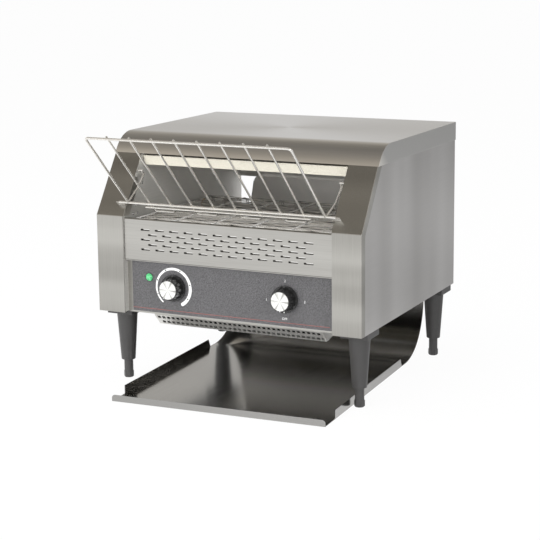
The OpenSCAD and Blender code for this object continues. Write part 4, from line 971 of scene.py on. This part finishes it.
class Finishes:
    """Every material of the machine by name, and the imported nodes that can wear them."""

    def __init__(self, frame: dict) -> None:
        """Builds the shared groups and every finish.

        Args:
            frame: the loaded frame.
        """
        self.nodes = frame["nodes"]
        self.groups = Groups()
        sheets = (
            # hood_steel: painted highlight, pale and warm on the lower part of the hood's front bend and
            # lip
            ChangingFinish("hood_steel", (0.68, 0.675, 0.66), (0.56, 0.555, 0.54), band=Band.ACROSS,
                           way=(0.0, -0.7, -0.7), low=-0.205, high=-0.185, dull=1.0,
                           bloom=(0.96, 0.93, 0.88)),
            SheetFinish("grille_steel", (0.58, 0.57, 0.54), (0.42, 0.41, 0.385), band=Band.ACROSS,
                        band_share=0.7),
            SheetFinish("rear_steel", (0.66, 0.65, 0.63), (0.54, 0.53, 0.51), roughness=0.34,
                        anisotropy=0.0),
            SheetFinish("column_steel", (0.57, 0.56, 0.525), (0.28, 0.27, 0.25), Grain.UPRIGHT,
                        Band.ACROSS, band_share=0.85, ripple=0.6),
            SheetFinish("side_steel", (0.68, 0.67, 0.66), (0.50, 0.49, 0.48), Grain.DEPTH, Band.UPRIGHT,
                        roughness=0.34, band_share=0.85, ripple=0.6),
            SheetFinish("baffle_steel", (0.93, 0.92, 0.90), (0.88, 0.87, 0.85), roughness=0.07,
                        scratch=0.0, ripple=0.0, anisotropy=0.0),
            # guard_steel: painted shade, its inside is near-black
            DuctFinish("guard_steel", (0.82, 0.81, 0.78), (0.70, 0.69, 0.66), metallic=0.7, ripple=0.0),
            # inner_steel: painted light, the inner walls turn lighter and nearly non-metallic towards the
            # back of the chamber
            ChangingFinish("inner_steel", (0.66, 0.645, 0.61), (0.50, 0.49, 0.46), Grain.DEPTH,
                           roughness=0.42, metallic=0.15, way=(0.0, 1.0, 0.0), low=-0.11, high=0.09,
                           dull=0.1, bloom=(0.95, 0.93, 0.89)),
            SheetFinish("floor_steel", (0.14, 0.135, 0.13), (0.08, 0.077, 0.074), Grain.DEPTH,
                        roughness=0.45, metallic=0.7, ripple=0.0),
            # tray_steel: painted light, the tray's parts higher than 5 to 10 cm turn pale and nearly
            # non-metallic
            ChangingFinish("tray_steel", (0.42, 0.415, 0.40), (0.32, 0.315, 0.305), Grain.DEPTH,
                           roughness=0.13, anisotropy=0.2, ripple=0.15, low=0.05, high=0.10, dull=0.1,
                           bloom=(0.98, 0.95, 0.91)),
            # belt_wire and link_wire: dark wires with a painted highlight on top of the upper run, painted
            # shade on the lower run
            ChangingFinish("belt_wire", (0.10, 0.09, 0.08), (0.05, 0.045, 0.04), roughness=0.24,
                           metallic=0.7, ripple=0.0, low=0.2455, high=0.2475, dull=0.6,
                           bloom=(0.95, 0.91, 0.85)),
            ChangingFinish("link_wire", (0.16, 0.15, 0.14), (0.09, 0.085, 0.08), roughness=0.24,
                           metallic=0.7, ripple=0.0, low=0.238, high=0.245, dull=0.4,
                           bloom=(1.0, 0.99, 0.97)),
            SheetFinish("rack_wire", (0.88, 0.87, 0.84), (0.74, 0.71, 0.66), roughness=0.16,
                        anisotropy=0.0, metallic=0.82, ripple=0.0),
            SheetFinish("turned_steel", (0.46, 0.45, 0.44), (0.30, 0.29, 0.285), ripple=0.0),
            SheetFinish("zinc_steel", (0.74, 0.74, 0.75), (0.56, 0.56, 0.57), Grain.DEPTH,
                        roughness=0.26, ripple=0.0),
            SheetFinish("bronze", (0.72, 0.52, 0.29), (0.50, 0.34, 0.18), roughness=0.35, ripple=0.0),
        )
        speckled = (
            SpeckledFinish("cream_enamel", (0.66, 0.63, 0.54), (0.57, 0.54, 0.455), 0.5, 500.0, 0.05),
            SpeckledFinish("fascia_film", (0.155, 0.152, 0.158), (0.040, 0.039, 0.041), 0.42, 800.0, 0.05),
            SpeckledFinish("leg_plastic", (0.070, 0.068, 0.067), (0.040, 0.039, 0.039), 0.40, 1500.0),
            SpeckledFinish("black_plastic", (0.020, 0.020, 0.020), (0.010, 0.010, 0.010), 0.14, 900.0,
                           0.02, coat=0.5),
            SpeckledFinish("control_blue", (0.13, 0.24, 0.45), (0.09, 0.18, 0.36)),
            SpeckledFinish("white_plastic", (0.80, 0.80, 0.78), (0.70, 0.70, 0.68), 0.45),
            SpeckledFinish("ceramic", (0.88, 0.87, 0.84), (0.78, 0.77, 0.73), 0.7),
            SpeckledFinish("board_green", (0.06, 0.28, 0.15), (0.035, 0.20, 0.10), 0.4),
            SpeckledFinish("motor_grey", (0.45, 0.46, 0.47), (0.36, 0.37, 0.38), 0.45, 700.0, 0.2,
                           metallic=0.4),
            SpeckledFinish("print_white", (0.95, 0.95, 0.94), (0.86, 0.86, 0.85)),
            SpeckledFinish("print_dark", (0.035, 0.035, 0.035), (0.025, 0.025, 0.025)),
            SpeckledFinish("print_grey", (0.50, 0.49, 0.48), (0.42, 0.41, 0.40)),
            SpeckledFinish("print_red", (0.44, 0.12, 0.10), (0.33, 0.08, 0.07)),
            # lamp_green: its light flecks are painted glints of a faceted lens, over the lens's green
            SpeckledFinish("lamp_green", (0.20, 0.72, 0.33), (0.03, 0.42, 0.13), 0.14, 420.0, coat=0.6),
            SpeckledFinish("quartz", (0.93, 0.91, 0.87), (0.84, 0.82, 0.77), 0.3, coat=0.5),
        )
        self.by_name = {f.name: f.make(self.groups) for f in (*sheets, *speckled)}

    def __getitem__(self, name: str) -> Material:
        """Returns a finish by name."""
        return self.by_name[name]

    def dress(self, finish: str | Material, *nodes: str) -> None:
        """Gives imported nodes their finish.

        Args:
            finish: the finish or its name.
            nodes: the nodes' names.
        """
        material = self[finish] if isinstance(finish, str) else finish
        for node in nodes:
            slots = self.nodes[node].material_slots
            for slot in slots:
                slot.link = "OBJECT"
                slot.material = material
            if not slots:
                self.nodes[node].data.materials.append(material)

    def soften(self, finish: str, *copies: Softened) -> None:
        """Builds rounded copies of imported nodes.

        Args:
            finish: the name of their finish.
            copies: what to build.
        """
        for copy in copies:
            copy.build(self.nodes[copy.node].data, self[finish])


# ---------------------------------------------------------------- sub-assemblies


@dataclass
class Bodywork:
    """Hood, columns, walls and panels with their rivets and screws.

    Attributes:
        hood_bend: width of the rounding along the hood's bends.
        wall_x: inner face of the inner walls.
        rivets: y and z of the rivets on an inner wall.
        rivet_r: radius of a rivet's head.
        head_r: radius of a cover screw's head.
        side_z: heights of the upper screws at the sides.
        top_x: places of the screws in the hood.
        cross: length of a screw's cross recess, drawn as a dark cross of painted shade.
        cross_depth: how far its drawn bars stand in the head.
    """

    hood_bend: float = 0.9 * MM
    wall_x: float = 165.0 * MM
    rivets: tuple[Point, ...] = ((-0.0815, 0.2941), (-0.102, 0.2635), (-0.109, 0.252), (-0.098, 0.252))
    rivet_r: float = 2.0 * MM
    head_r: float = 3.6 * MM
    side_z: Point = (0.241, 0.3125)
    top_x: tuple[float, ...] = (-0.12, 0.0, 0.12)
    cross: float = 3.6 * MM
    cross_depth: float = 0.2 * MM

    def build(self, finishes: Finishes) -> None:
        """Rounds the outer sheets, dresses the inner ones and adds the fasteners."""
        for finish, *sheets in (
                ("column_steel", Softened("left_front_column"), Softened("right_front_column")),
                ("side_steel", Softened("left_side_panel"), Softened("right_side_panel")),
                ("hood_steel", Softened("hood", bend=self.hood_bend)),
                ("grille_steel", Softened("front_grille", cut=0.0)),
                ("rear_steel", Softened("rear_panel", cut=0.0))):
            finishes.soften(finish, *sheets)
        finishes.dress("grille_steel", "control_panel")
        finishes.dress("inner_steel", "left_inner_wall", "right_inner_wall")
        finishes.dress("floor_steel", "base_pan", "chamber_floor")
        finishes.dress("guard_steel", "vent_guard")
        finishes.dress("baffle_steel", "grille_baffle")
        finishes.dress("zinc_steel", "cover_screws")
        self.rivet_heads(finishes)
        self.screw_crosses(finishes)

    def rivet_heads(self, finishes: Finishes) -> None:
        """Puts rivet heads on both inner walls."""
        points = [Vector((side * self.wall_x, y, z)) for side in (-1, 1) for y, z in self.rivets]
        dome_tree().run("wall_rivets", guide_mesh("wall_rivets", points),
                        {"Radius": self.rivet_r, "Turn": (0.0, math.pi / 2, 0.0)},
                        finishes["zinc_steel"], BODY, "bright_steel")

    def screw_crosses(self, finishes: Finishes) -> None:
        """Puts a dark cross, the painted shade of a cross recess, on every screw head at the back."""
        low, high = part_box("cover_screws")
        side_x, top_z = high.x - self.head_r, high.z - self.head_r
        places = [(s * side_x, z) for s in (-1, 1) for z in (low.z + self.head_r, *self.side_z)]
        places += [(x, top_z) for x in self.top_x]
        points = [Vector((x, high.y, z)) for x, z in places]
        # painted shade: each recess is a dark cross in print_dark, not a hollow
        cross_tree().run("screw_crosses", guide_mesh("screw_crosses", points),
                         {"Length": self.cross, "Depth": self.cross_depth},
                         finishes["print_dark"], BODY, "bright_steel")


@dataclass
class Belt:
    """The wire belt that carries the bread.

    Attributes:
        radius: radius of its path round a shaft.
        wires: number of cross wires.
        width: length of a cross wire.
        wire_r: radius of a cross wire.
        link_r: radius of the wire of a link.
        wave: how far a cross wire swings to each side of its line.
    """

    radius: float = 13.07 * MM
    wires: int = 52
    width: float = 313.0 * MM
    wire_r: float = 0.55 * MM
    link_r: float = 0.8 * MM
    wave: float = 2.6 * MM

    def path(self) -> tuple[list[Vector], float]:
        """Points of the closed path, one for each wire, and the distance between them."""
        front, rear = (sum(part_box(node), Vector()) / 2 for node in ("idler_shaft", "drive_shaft"))
        straight = (rear - front).length
        half = straight + math.pi * self.radius
        points = []
        for k in range(self.wires):
            side, at = divmod(k * 2 * half / self.wires, half)
            here, there, sign = (front, rear, 1) if side == 0 else (rear, front, -1)
            turn = max(at - straight, 0.0) / self.radius
            middle = here.lerp(there, min(at / straight, 1.0))
            points.append(Vector((0, middle.y + sign * self.radius * math.sin(turn),
                                  middle.z + sign * self.radius * math.cos(turn))))
        return points, 2 * half / self.wires

    def build(self, finishes: Finishes) -> None:
        """Builds the belt in place of its plain solid."""
        ring = [(k, (k + 1) % self.wires) for k in range(self.wires)]
        points, pitch = self.path()
        belt = belt_tree().run(
            "wire_belt_mesh", guide_mesh("wire_belt_mesh", points, ring),
            {"Width": self.width, "Wire Radius": self.wire_r, "Link Radius": self.link_r,
             "Wave": self.wave, "Pitch": pitch},
            finishes["belt_wire"], BODY, "belt_wire", finishes["link_wire"])
        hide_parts("wire_belt")


@dataclass
class InnerParts:
    """Heaters, drive, electrics and the rack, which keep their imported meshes, and the tray.

    Attributes:
        looks: each finish and the nodes that wear it.
        tray_bend: width of the rounding along the tray's bends.
    """

    looks: tuple[tuple[str, str], ...] = (
        ("cream_enamel", "heater_housing"),
        ("quartz", "upper_heater_tubes lower_heater_tubes"),
        ("ceramic", "heater_end_caps"),
        ("bronze", "shaft_bearings"),
        ("turned_steel", "drive_shaft drive_sprockets chain_wheel idler_shaft idler_sprockets "
                         "motor_sprocket drive_chain"),
        ("motor_grey", "gear_motor"),
        ("zinc_steel", "motor_shaft speed_spindle selector_spindle leg_bolts"),
        ("rack_wire", "loading_rack"),
        ("control_blue", "speed_regulator"),
        ("black_plastic", "selector_switch thermal_cutout cable_gland fan_frame fan_rotor"),
        ("white_plastic", "pilot_lamp_body terminal_block"),
        ("lamp_green", "pilot_lamp_lens"),
        ("board_green", "control_board"),
        ("fascia_film", "panel_fascia"))
    tray_bend: float = 0.6 * MM

    def build(self, finishes: Finishes) -> None:
        """Dresses the inner nodes and rounds the tray."""
        for finish, nodes in self.looks:
            finishes.dress(finish, *nodes.split())
        finishes.soften("tray_steel", Softened("toast_tray", "tray_steel", self.tray_bend, body="tray"))


@dataclass
class Legs:
    """Four tapered legs with hexagonal feet.

    Attributes:
        edge: width of a leg's rounded edges; a foot's are half as wide.
    """

    edge: float = 0.8 * MM

    def build(self, finishes: Finishes) -> None:
        """Rounds and dresses each leg and foot."""
        for place in ("front_left", "front_right", "rear_left", "rear_right"):
            finishes.soften("leg_plastic", moulded(place + "_leg", "leg_grey", self.edge),
                            moulded(place + "_foot", "leg_grey", self.edge / 2, "foot_" + place))


@dataclass
class Controls:
    """Knobs, pilot lamp ring and the printing of the fascia. Angles are clockwise from straight down.

    Attributes:
        edge: width of a knob's rounded edges.
        edge_deg: edges sharper than this are rounded.
        skirt_t: thickness of a knob's skirt.
        grip_r: radius of the grip's front.
        line: ends of the line on the grip, as shares of grip_r.
        tick: ends of the tick on the skirt, as shares of grip_r.
        line_w: width of both.
        speed_at: angle of the speed knob's pointer.
        ring_r: outer radius of the printed ring round the speed knob.
        ring_ends: angles of its ends.
        ring_widths: its widths at those ends.
        steps: angles of the dark dots on the ring.
        step_r: largest radius of a dot, and its largest share of the ring's width.
        numerals: angles of the ring's numerals.
        numeral: largest size of a numeral, and its largest share of the ring's width.
        gap: angle, depth and width of the dark gap at the ring's start.
        dial: text and place of the marks round the selector knob.
        dial_size: size of those marks.
        red: z, left end, right end and width of the red line.
        bezel: thickness and width of the ring round the lamp, and its gap to the lens.
    """

    edge: float = 0.5 * MM
    edge_deg: float = 25.0
    skirt_t: float = 3.5 * MM
    grip_r: float = 14.8 * MM
    line: Point = (0.9, 1.0)
    tick: Point = (1.16, 1.3)
    line_w: float = 1.1 * MM
    speed_at: float = 31.0
    ring_r: float = 29.6 * MM
    ring_ends: Point = (40.0, 328.5)
    ring_widths: Point = (2.2 * MM, 5.2 * MM)
    steps: tuple[float, ...] = (110.0, 153.0, 203.0, 257.0, 303.0)
    step_r: Point = (1.1 * MM, 0.36)
    numerals: tuple[float, ...] = (54.0, 89.0, 131.0, 178.0, 230.0, 281.0, 317.0)
    numeral: Point = (2.6 * MM, 0.8)
    gap: Triple = (68.0, 3.2 * MM, 0.8 * MM)
    dial: tuple[tuple[str, float, float], ...] = (
        ("OFF", 88 * MM, 123 * MM), ("1", 60 * MM, 148 * MM), ("2", 89 * MM, 177 * MM),
        ("3", 119 * MM, 149.5 * MM))
    dial_size: float = 4.8 * MM
    red: tuple[float, ...] = (117.5 * MM, -157.0 * MM, 157.0 * MM, 0.55 * MM)
    bezel: Triple = (0.6 * MM, 0.8 * MM, 0.02 * MM)

    def build(self, finishes: Finishes) -> None:
        """Rounds the knobs, dresses their caps and prints the fascia."""
        for knob, body, angle in (("speed_knob", "speed_dial", self.speed_at),
                                  ("selector_knob", "selector_dial", 0.0)):
            finishes.soften("black_plastic",
                            moulded(knob, "black_plastic", self.edge, body, self.edge_deg))
            centre = sum(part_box(knob + "_cap"), Vector()) / 2
            # the cap's radial rays are painted sheen
            cap = SpunFinish(knob + "_cap_metal").make(finishes.groups, centre)
            finishes.dress(cap, knob + "_cap")
            self.pointer(knob, body, angle, finishes)
        self.fascia(finishes)
        self.lamp_ring(finishes)

    def pointer(self, knob: str, body: str, angle: float, finishes: Finishes) -> None:
        """Prints the white line on a knob's grip and the tick on its skirt."""
        low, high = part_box(knob)
        centre = front_centre(knob)
        for tag, face, span in (("line", low.y, self.line), ("tick", high.y - self.skirt_t, self.tick)):
            mark = Print(face - INK)
            mark.bar(*(polar(centre, self.grip_r * share, angle) for share in span), self.line_w)
            mark.finish(f"{body}_{tag}", finishes["print_white"], body, "lamp_white")

    def on_ring(self, centre: Point, angle: float) -> tuple[Point, float]:
        """Middle of the printed ring at an angle, and the ring's width there."""
        share = (angle - self.ring_ends[0]) / (self.ring_ends[1] - self.ring_ends[0])
        width = self.ring_widths[0] + share * (self.ring_widths[1] - self.ring_widths[0])
        return polar(centre, self.ring_r - width / 2, angle), width

    def fascia(self, finishes: Finishes) -> None:
        """Prints the ring, the marks round both knobs and the red line on the fascia."""
        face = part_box("panel_fascia")[0].y
        centre = front_centre("speed_knob")
        white, red = Print(face - INK), Print(face - INK)
        dark, grey = Print(face - 2 * INK), Print(face - 2 * INK)
        white.arc(centre, self.ring_r, self.ring_ends, self.ring_widths)
        for text, x, z in self.dial:
            white.words(text, (x, z), self.dial_size)
        for angle in self.steps:
            place, width = self.on_ring(centre, angle)
            dark.disc(place, min(self.step_r[0], width * self.step_r[1]))
        for number, angle in enumerate(self.numerals, 1):
            place, width = self.on_ring(centre, angle)
            grey.words(str(number), place, min(self.numeral[0], width * self.numeral[1]))
        angle, depth, width = self.gap
        dark.bar(*(polar(centre, radius, angle) for radius in (self.ring_r, self.ring_r - depth)), width)
        z, left, right, width = self.red
        red.bar((left, z), (right, z), width)
        for sheet, name, finish, slot in ((white, "dial_print", "print_white", "lamp_white"),
                                          (dark, "dial_steps", "print_dark", "fascia_film"),
                                          (grey, "dial_numerals", "print_grey", "fascia_film"),
                                          (red, "red_line", "print_red", "fascia_film")):
            sheet.finish(name, finishes[finish], BODY, slot)

    def lamp_ring(self, finishes: Finishes) -> None:
        """Puts a thin dark ring round the pilot lamp's lens."""
        low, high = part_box("pilot_lamp_lens")
        thick, width, gap = self.bezel
        middle, radius = front_centre("pilot_lamp_lens"), (high.x - low.x) / 2
        ring = Print(high.y - thick, thick)
        turn = 180.0 / (2 * FACETS)
        ring.strip([tuple(polar(middle, r, 180.0 + turn * k) for r in (radius + width, radius + gap))
                    for k in range(4 * FACETS + 1)])
        ring.finish("lamp_ring", finishes["print_dark"], BODY, "black_plastic")


# ---------------------------------------------------------------- studio


@dataclass
class Studio:
    """White floor, soft light and the camera.

    Attributes:
        picture: width and height of the picture in pixels.
        sensor: width of the camera's sensor in millimetres.
        focal_px: focal length in pixels.
        centre_px: principal point in pixels.
        far: distance beyond which the camera sees nothing.
        place: the camera's place, with the body's front face at y = 0.
        right: direction of the picture's right.
        up: direction of the picture's top.
        front_y: y of the body's front face.
        floor_size: length of the floor's side.
        floor_z: height of the floor, just under the feet.
        floor_white: brightness of the floor.
        floor_span: length over which floor_mirror runs.
        floor_mirror: what metal sees of the floor, from the front to the back right.
        sky_light: strength of the light from all round.
        sky_mirror: what metal sees of the room, from the horizon to straight overhead.
        target: the point that the lamps face.
        lamps: name, place, side, power in watts and whether metal shows the lamp.
    """

    picture: float = 540.0
    sensor: float = 36.0
    focal_px: float = 1501.0
    centre_px: Point = (285.0, 220.0)
    far: float = 200.0
    place: Triple = (0.9696, -1.8231, 0.6294)
    right: Triple = (0.9024, 0.4309, -0.0090)
    up: Triple = (-0.0683, 0.1636, 0.9842)
    front_y: float = -0.140
    floor_size: float = 120.0
    floor_z: float = -0.05 * MM
    floor_white: float = 0.96
    floor_span: float = 4.0
    floor_mirror: tuple[tuple[float, Colour], ...] = (
        (0.0, (1.0, 1.0, 1.0)), (0.20, (0.50, 0.49, 0.48)), (0.30, (0.45, 0.44, 0.43)),
        (0.45, (0.60, 0.60, 0.60)), (0.57, (0.64, 0.64, 0.645)), (0.68, (0.46, 0.46, 0.465)),
        (1.0, (0.36, 0.36, 0.365)))
    sky_light: float = 0.55
    sky_mirror: tuple[tuple[float, Colour], ...] = (
        (0.0, (1.0, 1.0, 0.99)), (0.13, (0.90, 0.90, 0.92)), (0.24, (0.70, 0.69, 0.67)),
        (0.42, (0.62, 0.58, 0.52)), (0.60, (0.42, 0.385, 0.335)), (0.74, (0.27, 0.248, 0.215)),
        (1.0, (0.22, 0.205, 0.19)))
    target: Triple = (0.0, 0.0, 0.2)
    lamps: tuple[tuple[str, Triple, float, float, bool], ...] = (
        ("top_light", (-0.5, -0.6, 2.6), 2.0, 40.0, False),
        ("front_light", (-1.0, -2.5, 0.8), 1.8, 52.0, False),
        ("mouth_light", (1.9, -1.1, 0.75), 0.9, 10.0, True))

    def camera(self) -> None:
        """Creates the camera and makes it the scene's."""
        data = bpy.data.cameras.new("camera")
        data.sensor_width = self.sensor
        data.lens = self.focal_px / self.picture * self.sensor
        data.shift_x = -(self.centre_px[0] - self.picture / 2) / self.picture
        data.shift_y = (self.centre_px[1] - self.picture / 2) / self.picture
        data.clip_end = self.far
        x = Vector(self.right).normalized()
        z = x.cross(Vector(self.up)).normalized()
        turn = Matrix((x, z.cross(x), z)).transposed()
        camera = link(bpy.data.objects.new("camera", data))
        camera.matrix_world = Matrix.Translation(
            Vector(self.place) + Vector((0, self.front_y, 0))) @ turn.to_4x4()
        bpy.context.scene.camera = camera

    def floor(self) -> None:
        """White floor that keeps a soft shadow and shows metal softer tones."""
        tint = (self.floor_white,) * 3 + (1,)
        material, s, _ = start_material("floor_white", Base_Color=tint, Roughness=0.9,
                                        Specular_IOR_Level=0.0)
        path = s.add("LightPath").outputs
        camera, glossy = path["Is Camera Ray"], path["Is Glossy Ray"]
        split = s.add("SeparateXYZ", s.get("TexCoord", out="Object")).outputs
        reach = s.math("DIVIDE", s.math("ADD", split["X"], split["Y"]), self.floor_span, clamp=True)
        mirrored = s.math("MULTIPLY", s.ramp(reach, self.floor_mirror), glossy)
        glow = s.get("Emission", WHITE, s.math("MAXIMUM", mirrored, camera))
        seen = s.math("MULTIPLY", s.math("MAXIMUM", camera, glossy), self.floor_white)
        nodes = material.node_tree.nodes
        s.feed(nodes["Material Output"].inputs["Surface"],
               s.get("MixShader", seen, nodes["Principled BSDF"].outputs[0], glow))
        bm = bmesh.new()
        bmesh.ops.create_grid(bm, x_segments=2, y_segments=2, size=self.floor_size / 2)
        mesh = as_mesh("floor", bm)
        mesh.transform(Matrix.Translation((0, 0, self.floor_z)))
        mesh.materials.append(material)
        link(bpy.data.objects.new("floor", mesh))

    def world(self) -> None:
        """Soft surroundings: bright low down, warm and darker overhead."""
        world = bpy.data.worlds.new("studio")
        bpy.context.scene.world = world
        world.use_nodes = True
        s = Nodes(world.node_tree)
        plain = world.node_tree.nodes["Background"]
        for key, value in (("Color", WHITE), ("Strength", self.sky_light)):
            s.feed(plain.inputs[key], value)
        high = s.get("SeparateXYZ", s.get("TexCoord", out="Generated"), out="Z")
        mirror = s.get("Background", s.ramp(high, self.sky_mirror), 1.0)
        path = s.add("LightPath").outputs
        around = s.get("MixShader", path["Is Glossy Ray"], plain.outputs[0], mirror)
        s.feed(world.node_tree.nodes["World Output"].inputs["Surface"],
               s.get("MixShader", path["Is Camera Ray"], around, s.get("Background", WHITE, 1.0)))

    def lamp(self, name: str, place: Triple, size: float, power: float, mirrored: bool) -> None:
        """Adds one square soft light.

        Args:
            name: its name.
            place: its centre.
            size: length of its side.
            power: its power in watts.
            mirrored: whether metal shows it.
        """
        data = bpy.data.lights.new(name, "AREA")
        data.shape = "SQUARE"
        data.size = size
        data.energy = power
        lamp = link(bpy.data.objects.new(name, data))
        lamp.visible_glossy = mirrored
        turn = (Vector(self.target) - Vector(place)).to_track_quat("-Z", "Y")
        lamp.matrix_world = Matrix.Translation(place) @ turn.to_matrix().to_4x4()

    def build(self) -> None:
        """Builds the whole studio."""
        self.camera()
        self.floor()
        self.world()
        for lamp in self.lamps:
            self.lamp(*lamp)
        bpy.context.scene.view_settings.view_transform = "Standard"


def main() -> None:
    """Builds the sub-assemblies in order."""
    logging.basicConfig(level=logging.INFO, format="%(name)s: %(message)s")
    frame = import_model()
    finishes = Finishes(frame)
    for part in (Bodywork(), Belt(), InnerParts(), Legs(), Controls()):
        part.build(finishes)
        log.info("built %s", type(part).__name__)
    Studio().build()


if __name__ == "__main__":
    main()
